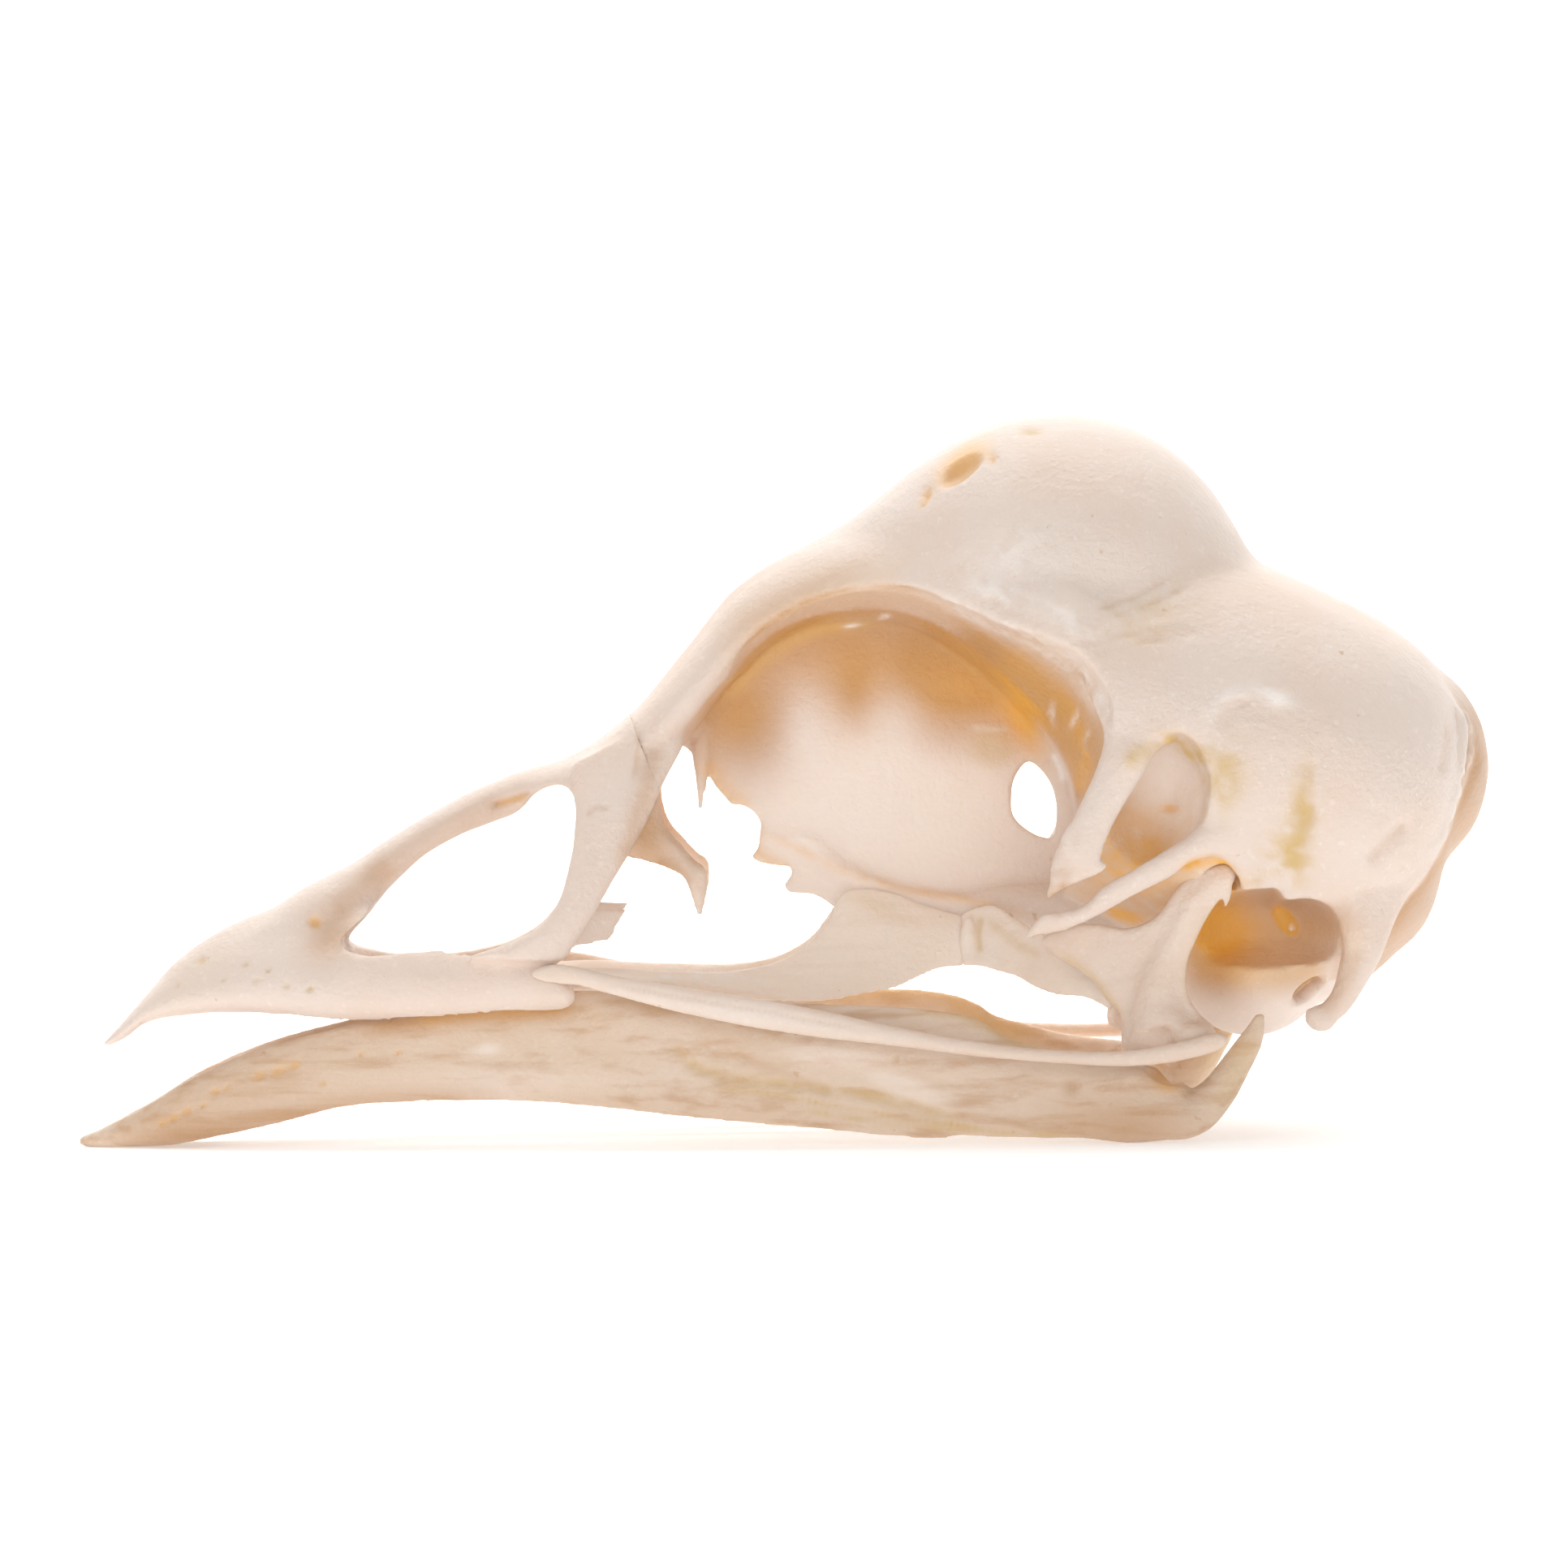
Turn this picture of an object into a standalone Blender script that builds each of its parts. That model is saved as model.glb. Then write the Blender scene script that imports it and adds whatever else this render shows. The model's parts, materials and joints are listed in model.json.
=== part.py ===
"""Skull of a crested chicken with its lower jaw, life size, as a still model.

The skull faces -X and stands on its lower jaw, with +Z up and its left side at -Y.
All stations below are in millimetres, in a frame whose X runs from the bill tip to the
back of the head, Y across and Z up from the floor. The right side mirrors the left.
"""
import math

import bmesh
import bpy
import numpy as np
from mathutils import Matrix, Vector

MM = 0.001
LEFT = -1
RIGHT = 1

# Driving dimensions, in millimetres
BRAINCASE_WIDTH = 28.8
KNOB_TOP = 38.0
KNOB_WIDTH = 22.0
ORBIT_RADIUS = 11.3
ORBIT_CENTRE = (5.3, 17.75)
SEPTUM_THICKNESS = 0.9
JOINT_GAP = 0.3
HINGE_FOOT = (-6.3, 18.0)
HINGE_TOP = (-8.1, 22.4)
KNOB_HOLE_LENGTH = 3.1
KNOB_HOLE_WIDTH = 1.0
FORAMEN_RADIUS = 2.6

# Working sizes: welds in metres, the rest in millimetres
CURVE_WELD = 0.00001
NODE_WELD = 0.000004
SKIN_VOXEL = 0.7
SKIN_PASSES = 8
SKIN_SHARE = 0.13
THROUGH = 24.0

IVORY = (0.86, 0.79, 0.71, 1.0)
WARM_IVORY = (0.80, 0.68, 0.54, 1.0)


# Outlines and stations

def smooth_rows(keys, count, first=0, last=-1):
    """Rows read from one smooth curve (Catmull-Rom) between two of the key rows."""
    keys = np.array(keys, float)
    steps = np.linalg.norm(np.diff(keys[:, :3], axis=0), axis=1) ** 0.5
    knots = np.concatenate([[0.0], np.cumsum(steps)])
    slopes = np.gradient(keys, knots, axis=0)
    places = np.linspace(knots[first], knots[last], count)
    index = np.clip(np.searchsorted(knots, places, side="right") - 1, 0, len(keys) - 2)
    span = (knots[index + 1] - knots[index])[:, None]
    t = (places - knots[index])[:, None] / span
    start, end = keys[index], keys[index + 1]
    return (start * (1 + 2 * t) * (1 - t) ** 2 + end * t * t * (3 - 2 * t)
            + span * (slopes[index] * t * (1 - t) ** 2 + slopes[index + 1] * t * t * (t - 1)))


def smooth_outline(points, count):
    """A closed outline of count points, smooth through the given (x, z) points."""
    closed = [(x, z, 0.0) for x, z in points]
    wrapped = closed[-2:] + closed + closed[:3]
    rows = smooth_rows(wrapped, count + 1, 2, len(closed) + 2)
    return [(x, z) for x, z, _ in rows[:-1]]


def oval(angle, power):
    """Cosine and sine of an angle, squared up by the power of a superellipse."""
    c, s = math.cos(angle), math.sin(angle)
    return (math.copysign(abs(c) ** (2 / power), c), math.copysign(abs(s) ** (2 / power), s))


# Meshes

def new_object(name, mesh):
    """An object in the scene for a mesh."""
    thing = bpy.data.objects.new(name, mesh)
    bpy.context.scene.collection.objects.link(thing)
    return thing


def loft(name, rings):
    """A closed solid through rings of equally many points in millimetres."""
    mesh = bpy.data.meshes.new(name)
    body = bmesh.new()
    rows = [[body.verts.new(Vector(point) * MM) for point in ring] for ring in rings]
    sides = len(rows[0])
    for lower, upper in zip(rows, rows[1:]):
        for i in range(sides):
            j = (i + 1) % sides
            body.faces.new((lower[i], lower[j], upper[j], upper[i]))
    body.faces.new(rows[0])
    body.faces.new(list(reversed(rows[-1])))
    bmesh.ops.recalc_face_normals(body, faces=body.faces)
    body.to_mesh(mesh)
    body.free()
    return new_object(name, mesh)


def body_loft(name, keys, count, sides, upper_power=2.2, lower_power=2.0):
    """A solid through upright sections, each (x, top, middle, bottom, half width)."""
    rings = []
    for x, top, middle, bottom, half in smooth_rows(keys, count):
        ring = []
        for i in range(sides):
            angle = 2 * math.pi * i / sides
            power = upper_power if math.sin(angle) > 0 else lower_power
            c, s = oval(angle, power)
            rise = top - middle if s > 0 else middle - bottom
            ring.append((x, half * c, middle + rise * s))
        rings.append(ring)
    return loft(name, rings)


def strand(name, side, keys, count, sides=10, across=(0.0, 1.0, 0.0)):
    """A bar of oval sections along a path of keys (x, y, z, half height, half thickness).

    The thickness lies along the direction across, and y is measured outward.
    """
    rows = smooth_rows([(x, side * y, z, a, b) for x, y, z, a, b in keys], count)
    rings = []
    for index, row in enumerate(rows):
        before, after = rows[max(index - 1, 0)], rows[min(index + 1, len(rows) - 1)]
        ahead = Vector(after[:3] - before[:3]).normalized()
        wide = Vector(across)
        wide = (wide - ahead * wide.dot(ahead)).normalized()
        tall = ahead.cross(wide)
        centre = Vector(row[:3])
        turns = [2 * math.pi * i / sides for i in range(sides)]
        rings.append([centre + tall * (row[3] * math.cos(t)) + wide * (row[4] * math.sin(t))
                      for t in turns])
    return loft(name, rings)


def ball(name, centre, radii, tilt=0.0, segments=24, rings=14):
    """An ellipsoid with its own three radii, tilted about Y by tilt degrees."""
    mesh = bpy.data.meshes.new(name)
    body = bmesh.new()
    bmesh.ops.create_uvsphere(body, u_segments=segments, v_segments=rings, radius=MM)
    body.transform(Matrix.Diagonal((*radii, 1.0)))
    body.transform(Matrix.Rotation(math.radians(tilt), 4, "Y"))
    body.transform(Matrix.Translation(Vector(centre) * MM))
    body.to_mesh(mesh)
    body.free()
    return new_object(name, mesh)


def plate(name, outline, y_middle, thickness):
    """A flat plate in the XZ plane: an outline curve, filled and extruded, as a mesh."""
    curve = bpy.data.curves.new(name, "CURVE")
    curve.dimensions = "2D"
    curve.fill_mode = "BOTH"
    curve.extrude = thickness * MM / 2
    line = curve.splines.new("POLY")
    line.points.add(len(outline) - 1)
    for point, (x, z) in zip(line.points, outline):
        point.co = (x * MM, z * MM, 0.0, 1.0)
    line.use_cyclic_u = True
    guide = new_object(name, curve)
    guide.matrix_world = (Matrix.Translation((0.0, y_middle * MM, 0.0))
                          @ Matrix.Rotation(math.radians(90), 4, "X"))
    return as_mesh(guide)


def as_mesh(guide):
    """The mesh of a curve object, welded, in place of the curve."""
    bpy.context.view_layer.update()
    graph = bpy.context.evaluated_depsgraph_get()
    mesh = bpy.data.meshes.new_from_object(guide.evaluated_get(graph))
    body = bmesh.new()
    body.from_mesh(mesh)
    bmesh.ops.remove_doubles(body, verts=body.verts, dist=CURVE_WELD)
    body.transform(guide.matrix_world)
    bmesh.ops.recalc_face_normals(body, faces=body.faces)
    body.to_mesh(mesh)
    body.free()
    name = guide.name
    bpy.data.objects.remove(guide)
    return new_object(name, mesh)


# Joining and cutting

def combine(target, others, operation):
    """Join the others to the target, or cut them from it, in one Boolean."""
    group = bpy.data.collections.new("tools")
    bpy.context.scene.collection.children.link(group)
    for thing in others:
        bpy.context.scene.collection.objects.unlink(thing)
        group.objects.link(thing)
    change = target.modifiers.new(operation.lower(), "BOOLEAN")
    change.operand_type = "COLLECTION"
    change.collection = group
    change.operation = operation
    change.solver = "EXACT"
    bpy.context.view_layer.update()
    graph = bpy.context.evaluated_depsgraph_get()
    mesh = bpy.data.meshes.new_from_object(target.evaluated_get(graph))
    target.modifiers.clear()
    target.data = mesh
    for thing in list(group.objects):
        bpy.data.objects.remove(thing)
    bpy.data.collections.remove(group)
    return target


def joined(name, pieces):
    """One node from its pieces."""
    whole = combine(pieces[0], pieces[1:], "UNION")
    whole.name = name
    return whole


def cut(target, cutters):
    """The target less its cutters."""
    return combine(target, cutters, "DIFFERENCE")


def soften(thing):
    """Melt a joined shape into one even skin, smooth its creases and thin its faces."""
    skin = thing.modifiers.new("skin", "REMESH")
    skin.mode = "VOXEL"
    skin.voxel_size = SKIN_VOXEL * MM
    even = thing.modifiers.new("even", "SMOOTH")
    even.factor = 0.5
    even.iterations = SKIN_PASSES
    thin = thing.modifiers.new("thin", "DECIMATE")
    thin.ratio = SKIN_SHARE
    bpy.context.view_layer.update()
    graph = bpy.context.evaluated_depsgraph_get()
    mesh = bpy.data.meshes.new_from_object(thing.evaluated_get(graph))
    thing.modifiers.clear()
    thing.data = mesh


def keep_largest(thing):
    """Leave only the largest closed surface of a node."""
    body = bmesh.new()
    body.from_mesh(thing.data)
    bmesh.ops.remove_doubles(body, verts=body.verts, dist=NODE_WELD)
    bmesh.ops.dissolve_degenerate(body, edges=body.edges, dist=NODE_WELD)
    bmesh.ops.triangulate(body, faces=body.faces)
    left = set(body.verts)
    groups = []
    while left:
        queue = [left.pop()]
        group = set(queue)
        while queue:
            for edge in queue.pop().link_edges:
                for vert in edge.verts:
                    if vert in left:
                        left.discard(vert)
                        group.add(vert)
                        queue.append(vert)
        groups.append(group)
    groups.sort(key=box_volume)
    for group in groups[:-1]:
        bmesh.ops.delete(body, geom=list(group), context="VERTS")
    body.to_mesh(thing.data)
    body.free()


def box_volume(verts):
    """Volume of the box round some vertices."""
    places = np.array([vert.co[:] for vert in verts])
    return float(np.prod(places.max(axis=0) - places.min(axis=0)))


def both_sides(maker):
    """What maker builds for the left side and for the right side."""
    return [maker(LEFT), maker(RIGHT)]


def finish(thing, colour, roughness):
    """Give a node its own bone material and smooth shading."""
    keep_largest(thing)
    bone = bpy.data.materials.new(thing.name + "_bone")
    bone.use_nodes = True
    shader = bone.node_tree.nodes["Principled BSDF"]
    shader.inputs["Base Color"].default_value = colour
    shader.inputs["Roughness"].default_value = roughness
    shader.inputs["Metallic"].default_value = 0.0
    thing.data.materials.clear()
    thing.data.materials.append(bone)
    thing.data.shade_smooth()
    thing.data.set_sharp_from_angle(angle=math.radians(40))
    return thing


# Cranium

def frontal_roof():
    """The roof of the orbits, from the hinge of the bill to the braincase."""
    return body_loft("frontal_roof", [
        (-10.0, 20.9, 19.2, 17.2, 4.9),
        (-8.0, 22.3, 20.6, 18.3, 5.6),
        (-5.0, 25.7, 23.3, 21.3, 6.15),
        (-2.5, 28.7, 26.0, 24.3, 6.35),
        (1.0, 30.9, 28.3, 26.7, 6.8),
        (5.0, 32.3, 28.9, 27.0, 7.7),
        (9.0, 33.0, 28.3, 25.0, 9.7),
        (12.5, 33.0, 26.6, 22.0, 11.9),
        (15.5, 32.5, 24.4, 20.0, 13.5),
        (18.5, 31.0, 23.0, 20.0, 12.0)], 24, 32, 2.0, 2.2)


def knob():
    """The domed knob under the crest."""
    half = KNOB_WIDTH / 2
    return body_loft("knob", [
        (-1.5, 29.3, 28.2, 27.0, 2.0),
        (3.9, 32.4, 29.0, 25.0, 5.4),
        (8.2, 35.9, 29.3, 23.0, 8.8),
        (12.0, KNOB_TOP - 0.3, 29.3, 22.0, 10.6),
        (15.6, KNOB_TOP, 29.2, 22.0, half),
        (19.3, KNOB_TOP - 1.0, 28.9, 22.0, 10.5),
        (22.2, 34.4, 28.4, 22.0, 8.6),
        (24.4, 31.4, 27.6, 22.0, 6.2),
        (25.8, 28.8, 26.6, 23.0, 3.2)], 22, 32)


def braincase():
    """The braincase behind the orbits."""
    half = BRAINCASE_WIDTH / 2
    return body_loft("braincase", [
        (12.5, 29.0, 22.5, 14.5, 9.0),
        (14.0, 31.0, 22.0, 12.6, 12.4),
        (16.5, 31.6, 21.4, 11.2, 13.9),
        (20.5, 31.2, 20.6, 9.0, half),
        (24.5, 30.1, 19.9, 6.4, half + 0.1),
        (28.5, 28.4, 19.3, 6.6, half - 0.1),
        (31.7, 26.6, 18.7, 8.4, 12.9),
        (34.2, 24.8, 18.6, 11.9, 10.2),
        (35.8, 22.7, 18.9, 14.8, 7.0),
        (36.5, 21.0, 19.2, 16.9, 3.4)], 26, 36, 2.25, 1.9)


def orbit_socket(side):
    """The eye socket's hollow, narrow at the septum and flared past its rim."""
    near = SEPTUM_THICKNESS / 2 - 0.1
    layers = ((near, 0.88, 0.80), (near + 0.6, 0.91, 0.86), (near + 2.2, 0.95, 0.93),
              (near + 5.0, 0.985, 0.98), (8.5, 1.0, 1.0), (13.0, 1.01, 1.01), (19.0, 1.06, 1.06))
    outline = smooth_outline([
        (-0.4, 11.2), (4.0, 10.2), (8.0, 7.9), (10.7, 5.2), (11.3, 2.4), (10.8, -1.0), (8.6, -6.5),
        (4.6, -12.5), (-4.0, -14.0), (-12.0, -12.0), (-14.0, -3.0), (-11.8, 3.6), (-8.9, 6.8),
        (-6.0, 9.7)], 38)
    centre_x, centre_z = ORBIT_CENTRE
    grow = ORBIT_RADIUS / 11.3
    rings = [[(centre_x + x * grow * wide, side * depth, centre_z + z * grow * tall)
              for x, z in outline] for depth, wide, tall in layers]
    return loft("orbit_socket", rings)


def temporal_fossa(side):
    """The hollow behind the postorbital process."""
    return ball("temporal_fossa", (18.9, side * 15.3, 16.6), (2.9, 5.2, 5.2), 20)


def septum():
    """The thin wall between the orbits, with its broken front edge."""
    edge = [(-6.2, 21.6), (-5.2, 20.5), (-4.7, 19.5), (-4.75, 17.7), (-4.1, 18.9), (-2.7, 17.6),
            (-1.3, 16.6), (-1.7, 14.8), (0.3, 14.5), (-0.1, 13.2), (1.5, 12.8), (2.6, 13.4),
            (5.5, 12.2), (9.0, 11.5), (14.0, 11.2), (19.0, 12.0), (19.0, 28.0), (12.0, 30.0),
            (4.0, 30.5), (-1.0, 28.0), (-4.0, 24.8)]
    return plate("septum", edge, 0.0, SEPTUM_THICKNESS)


def rostrum():
    """The keel along the foot of the septum."""
    return strand("rostrum", LEFT, [
        (-0.9, 0.0, 15.9, 0.45, 0.5), (2.4, 0.0, 14.6, 0.7, 0.8), (5.5, 0.0, 13.1, 0.8, 1.0),
        (9.5, 0.0, 12.2, 0.9, 1.3), (14.5, 0.0, 11.7, 1.6, 2.4), (20.0, 0.0, 11.5, 3.0, 4.5)],
        16, 12)


def postorbital_process(side):
    """The spine that closes the orbit behind."""
    return strand("postorbital", side, [
        (18.2, 11.0, 24.6, 1.6, 1.0), (17.7, 13.1, 21.4, 1.75, 1.0), (16.9, 13.9, 18.8, 1.15, 0.65),
        (15.8, 14.0, 16.5, 0.8, 0.55), (15.2, 14.0, 14.9, 1.05, 0.5), (14.2, 13.9, 13.8, 0.7, 0.4),
        (13.4, 13.8, 12.8, 0.15, 0.15)], 16)


def zygomatic_process(side):
    """The spine that runs forward over the quadrate."""
    return strand("zygomatic", side, [
        (26.5, 10.8, 17.6, 1.6, 1.0), (23.2, 12.7, 16.6, 1.7, 1.0), (20.4, 13.15, 15.7, 1.0, 0.6),
        (18.1, 13.1, 14.25, 0.7, 0.5), (16.0, 12.9, 12.95, 0.6, 0.45), (14.2, 12.6, 11.9, 0.5, 0.35),
        (12.3, 12.2, 10.75, 0.15, 0.15)], 16)


def paroccipital_process(side):
    """The wing that hangs behind the ear opening."""
    return strand("paroccipital", side, [
        (29.5, 8.6, 16.0, 1.6, 1.4), (30.2, 10.2, 12.8, 2.0, 1.4), (30.0, 10.5, 10.2, 1.55, 0.9),
        (29.5, 10.4, 8.3, 1.25, 0.65), (28.9, 10.3, 6.9, 0.95, 0.55), (28.1, 10.2, 6.1, 0.4, 0.35)], 14)


def ear_opening(side):
    """The hollow of the ear behind the quadrate."""
    return ball("ear_opening", (25.0, side * 12.6, 11.05), (3.9, 5.2, 2.35), 4)


def quadrate_seat(side):
    """The room in which the quadrate's head sits, clear of it by the joint gap."""
    return quadrate_stem(side, JOINT_GAP)


def fenestra():
    """The oval gap at the back of the septum."""
    outline = smooth_outline([(13.1, 19.8), (12.2, 18.9), (11.8, 17.7), (12.0, 16.6), (12.8, 15.9),
                              (13.9, 15.6), (14.5, 16.6), (14.4, 18.0), (13.9, 19.3)], 20)
    return plate("fenestra", outline, 0.0, 6.0 * SEPTUM_THICKNESS)


def knob_hole():
    """The slanted gap in the left side of the knob."""
    return ball("knob_hole", (9.7, -7.6, 35.4), (KNOB_HOLE_LENGTH / 2, 3.6, KNOB_HOLE_WIDTH / 2),
                -40, 16, 10)


def foramen_magnum():
    """The recess for the spinal cord under the back of the skull."""
    return ball("foramen_magnum", (33.0, 0.0, 9.3), (FORAMEN_RADIUS, FORAMEN_RADIUS,
                                                    FORAMEN_RADIUS * 1.3), 35, 20, 12)


def hinge_cut(way):
    """A block that takes all on one side of the bill's hinge, and half of the joint gap.

    The block lies towards the bill where way is 1, and towards the cranium where it is -1.
    """
    foot, top = Vector((HINGE_FOOT[0], 0, HINGE_FOOT[1])), Vector((HINGE_TOP[0], 0, HINGE_TOP[1]))
    along = (top - foot).normalized()
    forward = Vector((-along.z, 0.0, along.x))
    face = -way * forward * JOINT_GAP / 2
    back = way * forward * THROUGH
    spare = along * THROUGH / 2
    start, end = foot - spare + face, top + spare + face
    return loft("hinge_cut", [[(p.x, y, p.z) for p in (start, end, end + back, start + back)]
                              for y in (-THROUGH / 2, THROUGH / 2)])


def build_cranium():
    """The cranium with its orbits, septum, knob and processes."""
    head = joined("head", [braincase(), frontal_roof(), knob(),
                           ball("cerebellum", (33.2, 0.0, 19.2), (4.25, 5.6, 4.9)),
                           ball("occiput", (31.2, 0.0, 12.0), (2.8, 8.6, 3.7), 35),
                           ball("ear_floor", (24.3, 0.0, 8.7), (3.6, 8.2, 3.6))])
    soften(head)
    cut(head, both_sides(orbit_socket) + both_sides(temporal_fossa))
    pieces = [head, septum(), rostrum(), ball("condyle", (30.4, 0.0, 8.0), (1.3, 1.2, 1.0), 0, 14, 8)]
    for maker in (postorbital_process, zygomatic_process, paroccipital_process):
        pieces += both_sides(maker)
    cranium = joined("cranium", pieces)
    cut(cranium, both_sides(ear_opening) + both_sides(quadrate_seat)
        + [fenestra(), knob_hole(), foramen_magnum(), hinge_cut(1)])
    return finish(cranium, IVORY, 0.5)


# Upper bill

def bill_sides():
    """The solid front of the upper bill and its two lower edges, less the room between them."""
    sides = body_loft("bill_sides", [
        (-36.15, 5.8, 5.55, 5.3, 0.25), (-35.3, 6.8, 6.1, 5.75, 1.0), (-34.2, 8.0, 7.0, 6.6, 1.8),
        (-32.4, 9.8, 7.9, 7.1, 2.8), (-30.0, 11.5, 8.3, 7.35, 3.7), (-27.0, 12.8, 8.5, 7.15, 4.5),
        (-24.0, 14.1, 8.6, 6.8, 5.1), (-21.5, 14.6, 8.7, 6.55, 5.7), (-18.0, 13.4, 8.7, 6.45, 6.4),
        (-14.5, 12.4, 8.8, 6.5, 7.2), (-12.3, 11.7, 8.8, 6.7, 7.7), (-11.35, 10.4, 8.7, 7.3, 7.6)],
        24, 24, 1.7, 3.4)
    return cut(sides, [palate_hollow(), nasal_room()])


def bill_ridge():
    """The bar along the top of the bill, which spreads towards the hinge."""
    return body_loft("bill_ridge", [
        (-24.5, 13.8, 11.0, 9.0, 2.6), (-22.0, 15.4, 14.0, 12.0, 2.2), (-18.0, 17.6, 16.7, 15.4, 2.0),
        (-14.2, 19.4, 18.5, 17.2, 2.3), (-11.8, 19.95, 18.7, 17.2, 3.6), (-10.0, 20.9, 19.2, 17.2, 4.9),
        (-8.0, 22.3, 20.6, 18.3, 5.6), (-5.0, 25.7, 23.3, 21.3, 6.15)], 16, 16, 2.0, 2.0)


def nasal_strut(side):
    """The strut between the nostril and the orbit."""
    return strand("nasal_strut", side, [
        (-8.6, 4.3, 19.8, 1.6, 0.8), (-8.8, 5.2, 18.2, 2.3, 0.75), (-9.6, 5.9, 15.9, 1.6, 0.65),
        (-10.4, 6.4, 13.9, 1.2, 0.6), (-11.6, 6.8, 12.0, 1.5, 0.6), (-13.0, 7.0, 10.2, 1.9, 0.6)],
        14, 12)


def maxillopalatine(side):
    """The thin flap behind the foot of the strut."""
    return strand("flap", side, [
        (-12.2, 6.9, 10.6, 0.8, 0.5), (-10.5, 5.6, 11.4, 0.95, 0.35), (-9.2, 4.8, 11.9, 0.8, 0.3),
        (-8.3, 4.4, 12.3, 0.35, 0.25)], 8, 8)


def nostril():
    """The long nostril, open right through the bill."""
    outline = smooth_outline([
        (-23.2, 10.7), (-22.7, 11.6), (-21.4, 13.3), (-19.2, 15.3), (-16.6, 16.6), (-14.2, 17.7),
        (-12.9, 18.8), (-11.8, 18.9), (-11.2, 17.8), (-11.15, 15.0), (-11.7, 13.1), (-13.0, 11.4),
        (-15.8, 10.6), (-19.5, 10.2), (-22.2, 10.0)], 36)
    return plate("nostril", outline, 0.0, THROUGH)


def palate_hollow():
    """The hollow of the palate between the edges of the bill."""
    return body_loft("palate_hollow", [
        (-31.0, 7.8, 7.0, 6.0, 1.2), (-27.0, 8.3, 7.0, 5.6, 2.8), (-23.0, 8.9, 7.0, 5.4, 4.0),
        (-20.0, 9.2, 7.2, 5.4, 4.6)], 10, 16, 2.0, 2.0)


def nasal_room():
    """The room between the two lower edges, open above and below."""
    return body_loft("nasal_room", [
        (-23.0, 11.0, 9.6, 8.4, 1.6), (-22.3, 13.5, 9.4, 6.4, 3.6), (-21.0, 15.5, 9.2, 3.5, 4.5),
        (-18.0, 15.5, 9.0, 2.5, 5.3), (-14.5, 14.5, 9.0, 2.5, 6.2), (-10.0, 14.0, 9.0, 2.5, 6.9)],
        10, 20, 4.0, 4.0)


def build_upper_bill():
    """The upper bill with its nostril and palate."""
    pieces = [bill_sides(), bill_ridge()]
    for maker in (nasal_strut, maxillopalatine):
        pieces += both_sides(maker)
    bill = joined("upper_beak", pieces)
    cut(bill, [nostril(), hinge_cut(-1)])
    return finish(bill, IVORY, 0.5)


# Small bones of the face and palate

def build_lacrimal(side, name):
    """The lacrimal: a bar on the front rim of the orbit and a hooked spine."""
    bone = strand(name, side, [
        (-3.5, 6.75, 24.3, 0.5, 0.3), (-4.9, 6.75, 22.5, 1.0, 0.4), (-6.15, 6.75, 20.6, 1.1, 0.4),
        (-7.05, 6.95, 18.6, 1.1, 0.4), (-7.1, 7.35, 16.8, 1.25, 0.4), (-6.0, 7.8, 15.5, 1.15, 0.4),
        (-4.75, 8.1, 14.3, 0.7, 0.4), (-4.45, 8.1, 13.2, 0.35, 0.35), (-4.5, 8.1, 12.1, 0.12, 0.15)], 20)
    return finish(bone, IVORY, 0.5)


def build_jugal(side, name):
    """The jugal bar from the bill to the quadrate."""
    bone = strand(name, side, [
        (-11.0, 7.9, 9.25, 0.55, 0.45), (-9.0, 8.4, 8.6, 0.6, 0.5), (-5.0, 9.3, 7.75, 0.75, 0.5),
        (1.0, 10.5, 6.75, 0.8, 0.5), (5.4, 11.3, 5.85, 0.62, 0.5), (9.6, 12.0, 5.05, 0.45, 0.45),
        (13.8, 12.7, 4.6, 0.4, 0.4), (17.6, 13.3, 4.55, 0.4, 0.4), (20.2, 13.4, 4.9, 0.5, 0.45),
        (22.2, 13.2, 5.3, 0.55, 0.45)], 20, 8)
    return finish(bone, IVORY, 0.5)


def build_palatine(side, name):
    """The palatine: a rod that widens into a blade beside the rostrum."""
    bone = strand(name, side, [
        (-18.6, 3.0, 8.4, 0.45, 0.8), (-12.0, 4.0, 8.9, 0.5, 0.75), (-6.0, 4.4, 8.75, 0.55, 0.7),
        (-1.5, 4.3, 8.45, 1.0, 0.55), (0.6, 4.0, 9.1, 1.7, 0.42), (2.4, 3.7, 10.2, 2.45, 0.4),
        (5.0, 3.2, 10.35, 2.3, 0.4), (7.3, 2.8, 10.35, 1.55, 0.5), (8.6, 2.6, 10.3, 1.0, 0.55)], 22)
    return finish(bone, IVORY, 0.5)


def build_pterygoid(side, name):
    """The pterygoid, from the palatine out to the quadrate."""
    bone = strand(name, side, [
        (9.1, 2.7, 10.3, 0.95, 0.6), (10.5, 3.6, 10.4, 1.25, 0.6), (12.4, 5.2, 9.8, 1.0, 0.6),
        (14.4, 6.9, 8.9, 0.85, 0.65), (16.3, 8.5, 7.9, 0.95, 0.7)], 12)
    return finish(bone, IVORY, 0.5)


def quadrate_stem(side, spare=0.0):
    """The stem of the quadrate, from its head down to the jaw joint, fuller by spare."""
    return strand("stem", side, [
        (22.95, 11.1, 13.9 + spare, 0.75 + spare, 0.75 + spare),
        (22.3, 11.0, 12.9, 1.05 + spare, 0.85 + spare),
        (20.9, 10.9, 11.2, 1.3 + spare, 0.7 + spare), (19.4, 10.9, 9.2, 1.75 + spare, 0.75 + spare),
        (18.95, 10.9, 7.4, 1.8 + spare, 0.95 + spare), (19.3, 10.9, 5.6, 2.05 + spare, 1.6 + spare),
        (19.4, 10.9, 4.75, 1.6 + spare, 1.3 + spare)], 14, 10)


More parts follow.
